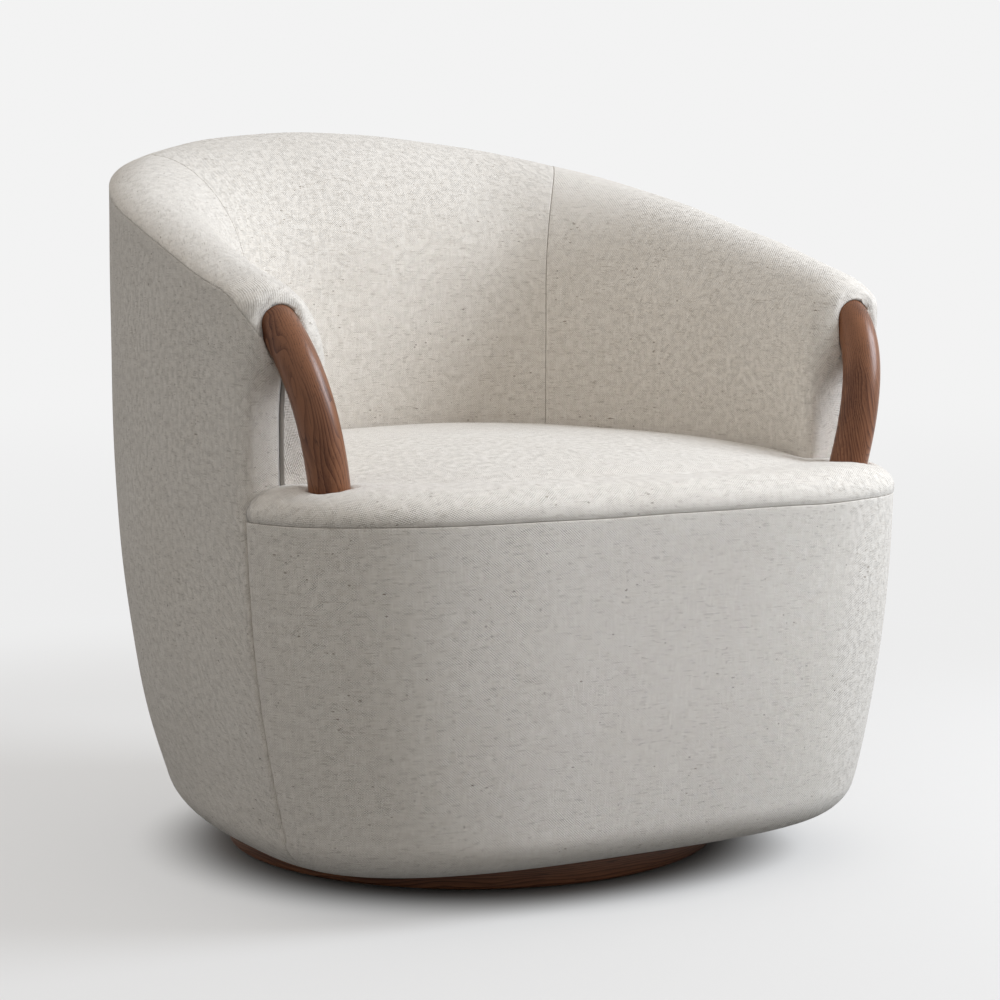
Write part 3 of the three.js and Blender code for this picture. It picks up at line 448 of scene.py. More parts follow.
# Insets and heights of a section, point by point, so that each point may have a run of its own
def innerProfile(run, seamDistance):
    c = innerPanel
    faceShares = np.concatenate([np.linspace(0, 0.2, 6)[:-1], np.linspace(0.2, 1, 62)])
    crownShares = np.linspace(1, 0, 32)[1:]
    outerShares = np.linspace(0, 1, 24)[1:-1]
    turn = np.linspace(0, math.pi / 2, 6)
    stepShares = np.linspace(0, 1, 6)[1:-1]
    first = len(faceShares) + len(crownShares)
    downShares = np.linspace(0, 1, first - len(outerShares) - len(turn) - len(stepShares))
    groups = np.cumsum([len(faceShares), len(crownShares), len(outerShares), len(turn), len(stepShares)])
    run = np.broadcast_to(np.asarray(run, float), (2 * first,))
    runs = np.split(run, groups)

    def sizes(r):
        distance = endDistance(r)
        seamDraw = endDraw(c["seamRadius"], seamDistance)
        seamDraw = seamDraw + c["seamPull"] * math.exp(-seamDistance / c["seamPullReach"])
        top = rimTop(r) - seamDraw
        thickness = alongWall(r, c["armThickness"], c["backThickness"])
        thickness = thickness - endDraw(c["noseRadius"], distance) - seamDraw
        outer = endDraw(c["outerRadius"], distance) + seamDraw
        return top, thickness, outer, top - alongWall(r, c["armDrop"], c["backDrop"])

    _, thickness, _, shoulder = sizes(runs[0])
    insets, heights = [thickness], [padBottom + (shoulder - padBottom) * faceShares]
    top, thickness, _, shoulder = sizes(runs[1])
    inset, height = crownArc((rim["crestInset"], top), (thickness, shoulder), crownShares, rim["innerCrown"])
    insets.append(inset)
    heights.append(height)
    top, _, outer, _ = sizes(runs[2])
    seam = rimTop(runs[2]) - rim["seamDrop"]
    edge = (outer, seam + c["outerSeamRoll"])
    inset, height = crownArc((rim["crestInset"], top), edge, outerShares, rim["outerCrown"])
    insets.append(inset)
    heights.append(height)
    _, _, outer, _ = sizes(runs[3])
    seam = rimTop(runs[3]) - rim["seamDrop"]
    rolled = outer + c["outerSeamRoll"] * (1 - np.cos(turn))
    insets.append(rolled)
    heights.append(seam + c["outerSeamRoll"] * (1 - np.sin(turn)))
    distance = endDistance(runs[5])
    wrap = 1 - smooth(distance, c["slitDepth"], c["slitDepth"] + c["slitFade"])
    back = c["hiddenInset"] + (c["slitInset"] - c["hiddenInset"]) * wrap
    back = back + endDraw(c["slitRadius"], distance) * (wrap > 0)
    under = rimTop(runs[5]) - rim["seamDrop"] - 0.0005
    insets.append(rolled[-1] + (back[0] - rolled[-1]) * stepShares)
    heights.append(np.full(len(stepShares), under[0]))
    insets.append(back)
    heights.append(under + (padBottom - under) * downShares)
    return np.concatenate(insets), np.concatenate(heights)


def innerSection(run, seamDistance):
    c = innerPanel
    inset, height = innerProfile(run, seamDistance)
    near = 1 - float(smooth(seamDistance, 0, c["driftReach"]))
    drift = np.clip((inset - c["driftStart"]) / (c["driftEnd"] - c["driftStart"]), 0, 1)
    drift[len(inset) // 2 :] = 0  # the hidden face and the outer crown stay square
    runs = run - seamDriftRun * drift * near
    if near > 0:
        inset, height = innerProfile(runs, seamDistance)
    return placeAt(runs, inset, height)


def makeInnerSide(side):
    c = innerPanel
    word = "Right" if side > 0 else "Left"
    end = seamRun - c["seamGap"]
    runs = stationRuns(0, end, c["gridStep"], c["frontRound"], c["seamRound"])
    sections = [innerSection(run, end - run) for run in runs]
    if side < 0:
        sections = [mirrored(s) for s in sections]
    uvs = surfaceUvs(sections, c["clothStart"][word], anchor=len(runs) // 3)
    return loftShell("innerPanel" + word, sections, uvs, columns=c["frontColumns"], bulge=c["frontBulge"])


def makeInnerBack():
    c = innerPanel
    start = seamRun + c["seamGap"]
    runs = stationRuns(start, halfRun, c["gridStep"], c["seamRound"])
    right = [innerSection(run, run - start) for run in runs]
    sections = right + [mirrored(s) for s in right[-2::-1]]
    return loftShell("innerPanelBack", sections, surfaceUvs(sections, c["clothStart"]["Back"], len(runs) - 1))


# Wooden arms

woodenArm = {
    "radius": 0.0194,
    "tenon": (0.329, -0.186, 0.5669),
    "shoulder": (0.3409, -0.216, 0.5696),
    "knee": (0.3218, -0.2836, 0.526),
    "ankle": (0.298, -0.2607, 0.395),
    "footBottom": 0.345,
    "sides": 56,
    "steps": 150,
    "footSteps": 22,
}


def armLine():
    a = woodenArm
    tenon, shoulder, knee, ankle = (np.array(a[k]) for k in ("tenon", "shoulder", "knee", "ankle"))
    t = np.linspace(0, 1, a["steps"])[:, None]
    bend = tenon * (1 - t) ** 3 + shoulder * 3 * t * (1 - t) ** 2 + knee * 3 * t * t * (1 - t) + ankle * t**3
    down = (ankle - knee) / np.linalg.norm(ankle - knee)
    length = (ankle[2] - a["footBottom"]) / -down[2]
    foot = ankle + down * np.linspace(0, length, a["footSteps"])[1:, None]
    return np.concatenate([bend, foot])


def tubeSections(line, radius, sides):
    tangent = np.gradient(line, axis=0)
    tangent /= np.linalg.norm(tangent, axis=1, keepdims=True)
    across = np.array([1.0, 0, 0])
    rings = []
    for place, forward in zip(line, tangent):
        across = across - forward * (across @ forward)
        across /= np.linalg.norm(across)
        other = np.cross(forward, across)
        turn = np.linspace(0, 2 * math.pi, sides, endpoint=False)[:, None]
        rings.append(place + radius * (np.cos(turn) * across + np.sin(turn) * other))
    return np.array(rings)


def tubePiece(name, line, radius, sides, side=1):
    rings = tubeSections(line, radius, sides)
    count = len(rings)
    along = pathLength(line)
    points = np.concatenate([rings.reshape(-1, 3), line[:1], line[-1:]])
    faces, uvs = [], []
    girth = 2 * math.pi * radius
    for i in range(count - 1):
        for j in range(sides):
            k = (j + 1) % sides
            faces.append((i * sides + j, i * sides + k, (i + 1) * sides + k, (i + 1) * sides + j))
            u, w = girth * j / sides, girth * (j + 1) / sides
            uvs += [(u, along[i]), (w, along[i]), (w, along[i + 1]), (u, along[i + 1])]
    for ring, centre in ((0, count * sides), (count - 1, count * sides + 1)):
        for j in range(sides):
            faces.append((ring * sides + j, ring * sides + (j + 1) % sides, centre))
            uvs += [(0, along[ring]), (0.002, along[ring]), (0.001, along[ring] + 0.01)]
    if side < 0:
        points = mirrored(points)
    return meshPiece(name, points, faces, uvs)


def makeArms():
    line = armLine()
    return [tubePiece("arm" + word, line, woodenArm["radius"], woodenArm["sides"], side)
            for word, side in (("Right", 1), ("Left", -1))]


# Sockets: the padding swells a little round each arm, turns in against the wood, and is cut for it

socket = {
    "gap": 0.0005,
    "reach": 0.2,  # the arm's neighbourhood
    "swell": 0.0100,
    "swellHeights": (0.47, 0.53),
    "topSwell": 0.0045,
    "topHeights": (0.560, 0.578),
    "swellReach": 0.030,
    "swellDepth": 0.030,
    "turnIn": 0.0030,
    "lip": 0.0042,
    "seatTurnIn": 0.0045,
    "seatLip": 0.007,
    "seatFrom": (0.385, 0.40),
    "seatTo": (0.45, 0.47),
    "cutterSides": 48,
    "cutterStart": 0.0006,
    "cutterEnd": 0.05,
}


def distanceToLine(points, line):
    nearest = np.full(len(points), np.inf)
    for a, b in zip(line[:-1], line[1:]):
        span = b - a
        t = np.clip((points - a) @ span / (span @ span), 0, 1)
        nearest = np.minimum(nearest, np.linalg.norm(points - (a + t[:, None] * span), axis=1))
    return nearest


def fitRoundArms(piece, sides):
    points = vertexArray(piece)
    line = armLine()[::3]
    c = socket
    for side in sides:
        path = line * np.array([side, 1, 1])
        ids = np.nonzero(np.linalg.norm(points - path.mean(0), axis=1) < c["reach"])[0]
        out = distanceToLine(points[ids], path) - woodenArm["radius"]
        y, z = points[ids, 1], points[ids, 2]
        onFront = 1 - smooth(y, barrel["armFrontY"], barrel["armFrontY"] + c["swellDepth"])
        onFront *= smooth(z, *c["swellHeights"])
        swell = c["swell"] + c["topSwell"] * smooth(z, *c["topHeights"])
        swell *= np.exp(-((np.maximum(out, 0) / c["swellReach"]) ** 2))
        turnIn = c["turnIn"] * (1 - smooth(out, 0, c["lip"]))
        points[ids, 1] += (turnIn - swell) * onFront
        onSeat = (1 - smooth(z, *c["seatTo"])) * smooth(z, *c["seatFrom"])
        points[ids, 2] -= c["seatTurnIn"] * (1 - smooth(out, 0, c["seatLip"])) * onSeat
    setVertices(piece, points)


def cutHoles(piece, sides):
    c = socket
    line = armLine()
    start = line[0] - (line[1] - line[0]) / np.linalg.norm(line[1] - line[0]) * c["cutterStart"]
    end = line[-1] + (line[-1] - line[-2]) / np.linalg.norm(line[-1] - line[-2]) * c["cutterEnd"]
    path = np.concatenate([[start], line[::5], [end]])
    for side in sides:
        cutter = tubePiece("socketCutter", path, woodenArm["radius"] + c["gap"], c["cutterSides"], side)
        modifier = piece.modifiers.new("socket", "BOOLEAN")
        modifier.object = cutter
        modifier.operation = "DIFFERENCE"
        modifier.solver = "MANIFOLD"
        applyModifiers(piece)
        bpy.data.objects.remove(cutter)


def applyModifiers(piece):
    bpy.context.view_layer.update()
    graph = bpy.context.evaluated_depsgraph_get()
    mesh = bpy.data.meshes.new_from_object(piece.evaluated_get(graph))
    piece.modifiers.clear()
    old = piece.data
    piece.data = mesh
    mesh.name = old.name
    bpy.data.meshes.remove(old)


# Seat cushion: a crowned top with a rolled front, wider in front of the arms than between them

cushion = {
    "wallGap": 0.0006,
    "edgeLift": 0.005,
    "edgeRoll": 0.044,
    "sideBulge": 0.0008,
    "edgeTop": 0.408,
    "crown": 0.0300,
    "crownPower": 2.4,
    "crownSquare": 2.3,
    "crownY": -0.04,
    "crownHalfWidth": 0.335,
    "crownBack": 0.345,
    "crownFront": 0.286,
    "frontRise": 0.032,  # how far behind the front edge the crown takes to reach its height
    "cornerRadius": 0.0075,
    "wallRoll": 0.009,
    "seamRoll": 0.0012,
    "frontLength": 0.40,
    "frontCount": 80,
    "armCount": 11,
    "wallCount": 96,
    "bottomY": -0.30,
    "gridStep": 0.0075,
    "gridEdge": 0.0035,
    "clothStart": (5.2, 0.4),
}


def crownHeight(x, y):
    c = cushion
    across = np.abs(x) / c["crownHalfWidth"]
    along = y - c["crownY"]
    along = np.where(along > 0, along / c["crownBack"], -along / c["crownFront"])
    away = (across ** c["crownSquare"] + along ** c["crownSquare"]) ** (1 / c["crownSquare"])
    return c["edgeTop"] + c["crown"] * (1 - np.clip(away, 0, 1) ** c["crownPower"])


# Height of the top, softened behind its front edge
def topHeight(places, frontEdge):
    c = cushion
    away = np.linalg.norm(places[:, None] - frontEdge[None], axis=2).min(1)
    crown = crownHeight(places[:, 0], places[:, 1]) - c["edgeTop"]
    return c["edgeTop"] + crown * smooth(away, 0, c["frontRise"])


# The seat's outline from the middle of the front round the right side to the middle of the back
def seatOutline(edge, wallEdge, height):
    c = cushion
    stop = barrel["armFrontY"] - c["wallGap"]
    last = float(angleAtY(stop, height, edge))
    fine = [0, 0.0003, 0.001, 0.002, 0.0035, 0.0052, 0.0075]
    coarse = np.linspace(0.011, c["frontLength"], c["frontCount"] - len(fine))
    distances = np.concatenate([fine, coarse])[::-1]
    angles = last * (1 - distances / c["frontLength"])
    front = insetPoint(angles, np.full(len(angles), height), edge + endDraw(c["cornerRadius"], distances))
    inset = innerPanel["armThickness"] - innerPanel["noseRadius"] + c["wallGap"] + wallEdge
    wallStart = placeAt(0.0, inset, height)[:2]
    steps = np.linspace(0, 1, c["armCount"] + 2)[1:-1, None]
    arm = front[-1] + (np.array([wallStart[0], stop]) - front[-1]) * steps
    arm[:, 1] = stop - 0.3 * wallEdge
    runs = np.concatenate([np.linspace(0, 0.03, 9)[:-1], np.linspace(0.03, halfRun, c["wallCount"])])
    thick = alongWall(runs, innerPanel["armThickness"], innerPanel["backThickness"])
    thick -= endDraw(innerPanel["noseRadius"], endDistance(runs))
    walls = placeAt(runs, thick + c["wallGap"] + wallEdge, height)[:, :2]
    return np.concatenate([front, arm, walls])


# Inset, height and share of the roll for each ring, from the seam up to the edge of the top
def cushionRings():
    c = cushion
    rings = []
    for angle in np.linspace(math.pi / 2, 0, 5):
        inset = c["seamRoll"] * (1 - math.cos(angle))
        rings.append((inset, seamHeight + c["seamRoll"] * (1 - math.sin(angle)), 0))
    for share in np.linspace(0, 1, 5)[1:]:
        bulge = -c["sideBulge"] * math.sin(share * math.pi / 2)
        rings.append((bulge, seamHeight + c["seamRoll"] + (c["edgeLift"] - c["seamRoll"]) * share, 0))
    edge = seatOutline(c["edgeRoll"] - c["sideBulge"], c["wallRoll"], c["edgeTop"])
    rise = topHeight(edge, edge[: c["frontCount"]]) - seamHeight - c["edgeLift"]
    for share in np.linspace(0, 1, 15)[1:]:
        angle = share * math.pi / 2
        inset = c["edgeRoll"] * (1 - math.cos(angle)) - c["sideBulge"]
        rings.append((inset, seamHeight + c["edgeLift"] + rise * math.sin(angle), share))
    return rings


# Points and triangles that fill the top inside its rolled edge. The triangles count the edge's own
# points first
def crownGrid(edge):
    c = cushion
    step = c["gridStep"]
    reach = math.ceil(edge[:, 0].max() / step)
    rows = np.arange(edge[:, 1].min() + step / 2, edge[:, 1].max(), step * 0.87)
    x, y = np.meshgrid(np.arange(-reach, reach + 1) * step, rows)
    x = x + np.where(np.arange(len(rows)) % 2, step / 2, 0)[:, None]
    grid = np.stack([x.ravel(), y.ravel()], -1)
    crossings = np.zeros(len(grid), int)
    for (x0, y0), (x1, y1) in zip(edge, np.roll(edge, -1, 0)):
        if y0 != y1:
            level = (grid[:, 1] >= min(y0, y1)) & (grid[:, 1] < max(y0, y1))
            crossings += level & (grid[:, 0] < x0 + (grid[:, 1] - y0) * (x1 - x0) / (y1 - y0))
    grid = grid[crossings % 2 == 1]
    away = np.linalg.norm(grid[:, None] - edge[None], axis=2).min(1)
    grid = grid[away > c["gridEdge"]]
    order = np.arange(len(edge))
    frontEdge = edge[np.minimum(order, len(edge) - order) < c["frontCount"]]
    flat = [Vector(place) for place in np.concatenate([edge, grid]).tolist()]
    found = delaunay_2d_cdt(flat, [], [list(range(len(edge)))], 1, 1e-7)
    triangles = [tuple(found[3][v][0] for v in face) for face in found[2]]
    return np.concatenate([grid, topHeight(grid, frontEdge)[:, None]], -1), triangles


def makeCushion():
    c = cushion
    outlines, heights = [], []
    for inset, z, share in cushionRings():
        wallEdge = c["wallRoll"] * (1 - math.cos(share * math.pi / 2))
        outlines.append(seatOutline(inset, wallEdge, float(np.ravel(z)[0])))
        heights.append(z + np.zeros(len(outlines[-1])))
    rings = np.concatenate([np.array(outlines), np.array(heights)[..., None]], -1)
    # The cloth's coordinates run on outwards from the edge of the top
    edge = rings[-1, :, :2]
    along = np.gradient(edge, axis=0)
    along[0], along[-1] = (1, 0), (-1, 0)
    along /= np.linalg.norm(along, axis=1, keepdims=True)
    outwards = np.stack([along[:, 1], -along[:, 0]], -1)
    flat = [edge]
    for ring, before in zip(rings[-2::-1], rings[:0:-1]):
        flat.append(flat[-1] + outwards * np.linalg.norm(ring - before, axis=1)[:, None])
    flat = np.array(flat[::-1])
    # Both sides
    full = np.concatenate([rings, mirrored(rings[:, -2:0:-1])], 1)
    fullUv = np.concatenate([flat, flat[:, -2:0:-1] * np.array([-1, 1])], 1)
    count, total = full.shape[:2]
    inside, triangles = crownGrid(full[-1, :, :2])
    points = np.concatenate([full.reshape(-1, 3), inside, [[0, c["bottomY"], seamHeight]]])
    flatUv = np.concatenate([fullUv.reshape(-1, 2), inside[:, :2], [[0, c["bottomY"]]]])
    faces = []
    for i in range(count - 1):
        for j in range(total):
            k = (j + 1) % total
            faces.append((i * total + j, i * total + k, (i + 1) * total + k, (i + 1) * total + j))
    lastRing, bottom = (count - 1) * total, len(points) - 1
    faces += [tuple(lastRing + v for v in triangle) for triangle in triangles]
    faces += [((j + 1) % total, j, bottom) for j in range(total)]
    uvs = np.array([flatUv[v] for face in faces for v in face]) + np.array(c["clothStart"])
    return meshPiece("seatCushion", points, faces, uvs)


# Padded front of the seat block, between the two creases

apron = {
    "thickness": 0.026,
    "gap": 0.0004,
    "seamGap": 0.0003,
    "creaseRadius": 0.0065,
    "seamRoll": 0.0012,
    "rows": 56,
    "halfLength": 0.40,
    "columns": 150,
    "clothStart": 7.7,
}


def makeApron():
    c = apron
    edgeY = barrel["armFrontY"] - c["gap"]
    turn, outside, heights, hiddenHeights = sideProfile(seamHeight - c["seamGap"], c["seamRoll"], c["rows"])
    hidden = np.full(len(heights), c["thickness"])
    hidden[: len(turn)] = outside[: len(turn)] + outerCover["hem"] * np.cos(turn)
    fine = np.array([0, 0.0002, 0.0007, 0.0015, 0.0025, 0.0037, 0.005, 0.0065]) / c["halfLength"]
    shares = np.concatenate([fine, np.linspace(fine[-1], 1, c["columns"] // 2 + 1)[1:]])
    shares = np.concatenate([shares, 2 - shares[-2::-1]])
    edgeOut = angleAtY(edgeY, heights, outside)
    edgeIn = angleAtY(edgeY, hiddenHeights, hidden)
    sections = []
    for share in shares:
        draw = float(endDraw(c["creaseRadius"], min(share, 2 - share) * c["halfLength"]))
        draw = draw * (1 - smooth(outside, outerCover["hemFade"], c["thickness"]))
        a = insetPoint(edgeOut * (1 - share), heights, np.minimum(outside + draw, hidden - outerCover["hem"]))
        b = insetPoint(edgeIn * (1 - share), hiddenHeights, hidden)
        a, b = np.column_stack([a, heights]), np.column_stack([b, hiddenHeights])
        sections.append(np.concatenate([a, b[::-1]]))
    uvs = surfaceUvs(sections, c["clothStart"], anchor=len(sections) // 2)
    return loftShell("seatApron", sections, uvs, columns=3)


# Felt pad between the springs and the cushion: the solid's own mesh with its corners joined
def makeDeckPad():
    mesh = nodes["deck_pad"].data.copy()
    piece = link("deckPadFelt", mesh)
    bm = bmesh.new()
    bm.from_mesh(mesh)
    bmesh.ops.remove_doubles(bm, verts=bm.verts, dist=1e-5)
    bm.to_mesh(mesh)
    bm.free()
    mesh.update()
    return piece


plinthRing = {
    "radius": 0.261,
    "wall": 0.022,
    "ledge": 0.014,
    "ledgeHeight": 0.005,
    "ease": 0.003,
    "sides": 256,
}


def makePlinth():
    c = plinthRing
    low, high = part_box("plinth_ring")
    radius, ease = c["radius"], c["ease"]
    inner = radius - c["wall"]
    turn = np.linspace(0, math.pi / 2, 7)
    profile = [(inner - c["ledge"], low.z)]
    profile += [(radius - ease * (1 - math.sin(a)), low.z + ease * (1 - math.cos(a))) for a in turn]
    profile += [(radius - ease * (1 - math.cos(a)), high.z - ease * (1 - math.sin(a))) for a in turn]
    profile += [(inner + 0.001, high.z), (inner, high.z - 0.001)]
    profile += [(inner, low.z + c["ledgeHeight"]), (inner - c["ledge"], low.z + c["ledgeHeight"])]
    points, faces, uvs = [], [], []
    count = len(profile)
    along = pathLength(np.array(profile + profile[:1]))
    for i in range(c["sides"]):
        turnBy = 2 * math.pi * i / c["sides"]
        points += [(r * math.cos(turnBy), r * math.sin(turnBy), z) for r, z in profile]
    for i in range(c["sides"]):
        k = (i + 1) % c["sides"]
        u, w = (2 * math.pi * radius * n / c["sides"] for n in (i, i + 1))
        for j in range(count):
            m = (j + 1) % count
            faces.append((i * count + j, i * count + m, k * count + m, k * count + j))
            uvs += [(u, along[j]), (u, along[j + 1]), (w, along[j + 1]), (w, along[j])]
    return meshPiece("plinthRing", points, faces, uvs)


# Materials


class Nodes:
    def __init__(self, tree):
        self.tree = tree
        tree.nodes.clear()

    # An input is given by its name, or by i and its number
    def add(self, kind, settings=None, **inputs):
        node = self.tree.nodes.new("ShaderNode" + kind)
        for key, value in (settings or {}).items():
            setattr(node, key, value)
        for key, value in inputs.items():
            self.put(node.inputs[int(key[1:]) if key[1:].isdigit() else key], value)
        return node

    def put(self, target, value):
        if isinstance(value, bpy.types.NodeSocket):
            self.tree.links.new(value, target)
        elif isinstance(value, bpy.types.Node):
            self.tree.links.new(value.outputs[0], target)
        else:
            target.default_value = value

    def math(self, operation, a, b=0.0):
        return self.add("Math", {"operation": operation}, i0=a, i1=b).outputs[0]

    def times(self, a, b):
        return self.math("MULTIPLY", a, b)

    def plus(self, a, b):
        return self.math("ADD", a, b)

    def minus(self, a, b):
        return self.math("SUBTRACT", a, b)

    def vector(self, operation, a, b):
        return self.add("VectorMath", {"operation": operation}, i0=a, i1=b).outputs[0]

    def mix(self, factor, a, b, blend="MIX"):
        return self.add("Mix", {"data_type": "RGBA", "blend_type": blend}, i0=factor, i6=a, i7=b).outputs[2]

    def range(self, value, low, high, newLow=0.0, newHigh=1.0, kind="SMOOTHSTEP"):
        settings = {"interpolation_type": kind}
        return self.add("MapRange", settings, i0=value, i1=low, i2=high, i3=newLow, i4=newHigh).outputs[0]

    def combine(self, x, y, z=0.0):
        return self.add("CombineXYZ", X=x, Y=y, Z=z).outputs[0]

    def noise(self, place, scale, detail=2.0, roughness=0.5):
        return self.add("TexNoise", Vector=place, Scale=scale, Detail=detail, Roughness=roughness).outputs[0]

    def ramp(self, value, stops):
        node = self.add("ValToRGB", i0=value)
        ramp = node.color_ramp
        while len(ramp.elements) < len(stops):
            ramp.elements.new(0.5)
        for element, (place, colour) in zip(ramp.elements, stops):
            element.position = place
            element.color = (*colour, 1)
        return node.outputs[0]

    def bump(self, height, strength, distance):
        return self.add("Bump", Strength=strength, Distance=distance, Height=height).outputs[0]

    # 1 for the rays that show the floor and the backdrop themselves, 0 for those that light the chair
    def seenRay(self):
        path = self.add("LightPath").outputs
        seen = self.math("MAXIMUM", path["Is Camera Ray"], path["Is Glossy Ray"])
        return self.math("MAXIMUM", seen, path["Is Transmission Ray"])


class Finish(Nodes):
    def __init__(self, name):
        self.material = bpy.data.materials.new(name)
        self.material.use_nodes = True
        super().__init__(self.material.node_tree)
        self.shader = self.add("BsdfPrincipled")
        self.output = self.add("OutputMaterial", Surface=self.shader)

    def surface(self, values):
        for key, value in values.items():
            self.put(self.shader.inputs[key], value)
        return self.material


linen = {
    "warpSpacing": 0.00136,
    "weftSpacing": 0.0012,
    "wander": 0.9,
    "wanderScale": 150.0,
    "bow": 2.5,
    "bowScale": 7.0,
    "light": (0.875, 0.825, 0.755),
    "dark": (0.72, 0.665, 0.59),
    "gap": (0.42, 0.37, 0.31),
    "gapAmount": 0.58,
    "dashAmount": 0.46,
    "fleck": (0.24, 0.185, 0.135),
    "fleckAmount": 0.8,
    "roughness": 0.92,
    "sheen": 0.25,
    "bumpDepth": 0.00045,
}


def linenMaterial():
    c = linen
    n = Finish("linen")
    uv = n.add("UVMap", {"uv_map": "cloth"}).outputs[0]
    split = n.add("SeparateXYZ", Vector=uv)
    u, v = split.outputs[0], split.outputs[1]

    # The yarns wander a little, and bow in longer waves
    def offsets(scale, detail):
        noise = n.add("TexNoise", Vector=uv, Scale=scale, Detail=detail)
        return n.add("SeparateColor", Color=noise.outputs[1]).outputs

    wander, bow = offsets(c["wanderScale"], 2.0), offsets(c["bowScale"], 1.0)

    def cells(place, spacing, channel):
        shift = n.times(n.minus(wander[channel], 0.5), c["wander"])
        shift = n.plus(shift, n.times(n.minus(bow[channel], 0.5), c["bow"]))
        return n.plus(n.math("DIVIDE", place, spacing), shift)

    warpCell, weftCell = cells(u, c["warpSpacing"], 0), cells(v, c["weftSpacing"], 1)
    sinU = n.math("SINE", n.times(warpCell, math.pi))
    sinV = n.math("SINE", n.times(weftCell, math.pi))
    absU, absV = n.math("ABSOLUTE", sinU), n.math("ABSOLUTE", sinV)
    weftUp = n.math("GREATER_THAN", n.times(sinU, sinV), 0.0)
    warpUp = n.minus(1.0, weftUp)
    # Each yarn has its own tone, drawn out along it
    weftIndex = n.times(n.math("FLOOR", weftCell), 0.731)
    warpIndex = n.times(n.math("FLOOR", warpCell), 0.731)
    weftTone = n.noise(n.combine(n.times(u, 70.0), weftIndex), 1.0)
    warpTone = n.noise(n.combine(warpIndex, n.times(v, 60.0), 4.0), 1.0)
    tone = n.plus(n.times(weftUp, weftTone), n.times(warpUp, warpTone))
    weftShape = n.times(absV, n.math("POWER", absU, 0.4))
    warpShape = n.times(absU, n.math("POWER", absV, 0.4))
    shape = n.plus(n.times(weftUp, weftShape), n.times(warpUp, warpShape))
    # Cells that rise and fall, a little more along one diagonal, in patches that are tighter or looser
    rising = n.math("COSINE", n.times(n.minus(weftCell, warpCell), math.pi))
    falling = n.math("COSINE", n.times(n.plus(weftCell, warpCell), math.pi))
    checker = n.minus(n.times(rising, 0.58), n.times(falling, 0.52))
    checker = n.times(checker, n.range(n.noise(uv, 140.0, 3.0), 0.36, 0.64, 0.35, 1.5))
    height = n.plus(n.times(checker, 0.5), n.times(tone, 0.6))
    # Dark flecks and dashes along the weft
    fleckNoise = n.noise(n.combine(n.times(u, 150.0), n.times(weftIndex, 1.7), 9.0), 1.0, 1.0)
    flecks = n.range(n.plus(fleckNoise, n.times(n.noise(uv, 22.0), 0.4)), 0.935, 1.01)
    dashes = n.noise(n.combine(n.times(u, 95.0), n.times(weftIndex, 2.1), 5.0), 1.0)
    dashes = n.range(dashes, 0.57, 0.70)
    # The cells' rise and fall also lightens and darkens their colour: painted shade of the weave, on top of
    # the bump
    tone = n.plus(tone, n.times(checker, 0.16))
    colour = n.mix(n.range(tone, 0.3, 0.7), (*c["dark"], 1), (*c["light"], 1))
    colour = n.mix(n.range(shape, 0.0, 0.35, c["gapAmount"], 0.0), colour, (*c["gap"], 1))
    colour = n.mix(n.times(dashes, c["dashAmount"]), colour, (*c["gap"], 1))
    colour = n.mix(n.times(flecks, c["fleckAmount"]), colour, (*c["fleck"], 1))
    broad = n.ramp(n.noise(uv, 9.0, 3.0), [(0.3, (0.48, 0.48, 0.48)), (0.7, (0.53, 0.53, 0.53))])
    return n.surface({
        "Base Color": n.mix(0.5, colour, broad, "OVERLAY"),
        "Roughness": c["roughness"],
        "Sheen Weight": c["sheen"],
        "Sheen Roughness": 0.45,
        "Specular IOR Level": 0.25,
        "Normal": n.bump(height, 1.0, c["bumpDepth"]),
    })


walnut = {
    "dark": (0.030, 0.0095, 0.0048),
    "middle": (0.112, 0.040, 0.0185),
    "light": (0.245, 0.104, 0.051),
    "ringSpacing": 0.0026,
    "warp": 0.055,
    "roughness": 0.36,
}


def walnutMaterial(name, pith, lean, onUv=False, paintedShade=1.0):
    c = walnut
    n = Finish(name)
    if onUv:
        uv = n.add("UVMap", {"uv_map": "cloth"})
        place = n.add("Mapping", Vector=uv, Rotation=(0, math.radians(88), math.radians(3)))
    else:
        place = n.add("TexCoord").outputs["Object"]
    centred = n.add("Mapping", Vector=place, Location=pith, Rotation=lean).outputs[0]
    stretched = n.vector("MULTIPLY", centred, (1.0, 1.0, 0.16))
    warp = n.add("TexNoise", Vector=stretched, Scale=16.0, Detail=3.0).outputs[1]
    shift = n.vector("MULTIPLY", n.vector("SUBTRACT", warp, (0.5, 0.5, 0.5)), (c["warp"], c["warp"], 0.0))
    split = n.add("SeparateXYZ", Vector=n.vector("ADD", centred, shift))
    x, y = split.outputs[0], split.outputs[1]
    radius = n.math("SQRT", n.plus(n.times(x, x), n.times(y, y)))
    rings = n.math("POWER", n.math("FRACT", n.math("DIVIDE", radius, c["ringSpacing"])), 2.2)
    broad = n.noise(stretched, 24.0, 4.0, 0.6)
    fine = n.noise(n.vector("MULTIPLY", centred, (1.0, 1.0, 0.035)), 700.0, 3.0, 0.7)
    tone = n.plus(n.plus(n.times(rings, -0.30), n.times(broad, 1.1)), n.times(fine, 0.42))
    # paintedShade darkens all the grain's colours: a painted shade, used for the plinth
    colours = [tuple(paintedShade * v for v in c[k]) for k in ("dark", "middle", "light")]
    colour = n.ramp(tone, [(0.22, colours[0]), (0.52, colours[1]), (0.80, colours[2])])
    pores = n.range(n.noise(n.vector("MULTIPLY", centred, (1.0, 1.0, 0.02)), 1100.0, 1.0), 0.64, 0.72)
    height = n.minus(n.times(fine, 0.4), pores)
    return n.surface({
        "Base Color": n.mix(n.times(pores, 0.55), colour, (*[0.4 * v for v in colours[0]], 1)),
        "Roughness": n.range(tone, 0.2, 0.8, c["roughness"] + 0.08, c["roughness"] - 0.06, "LINEAR"),
        "Specular IOR Level": 0.22,
        "Coat Weight": 0.04,
        "Coat Roughness": 0.3,
        "Normal": n.bump(height, 0.25, 0.0003),
    })


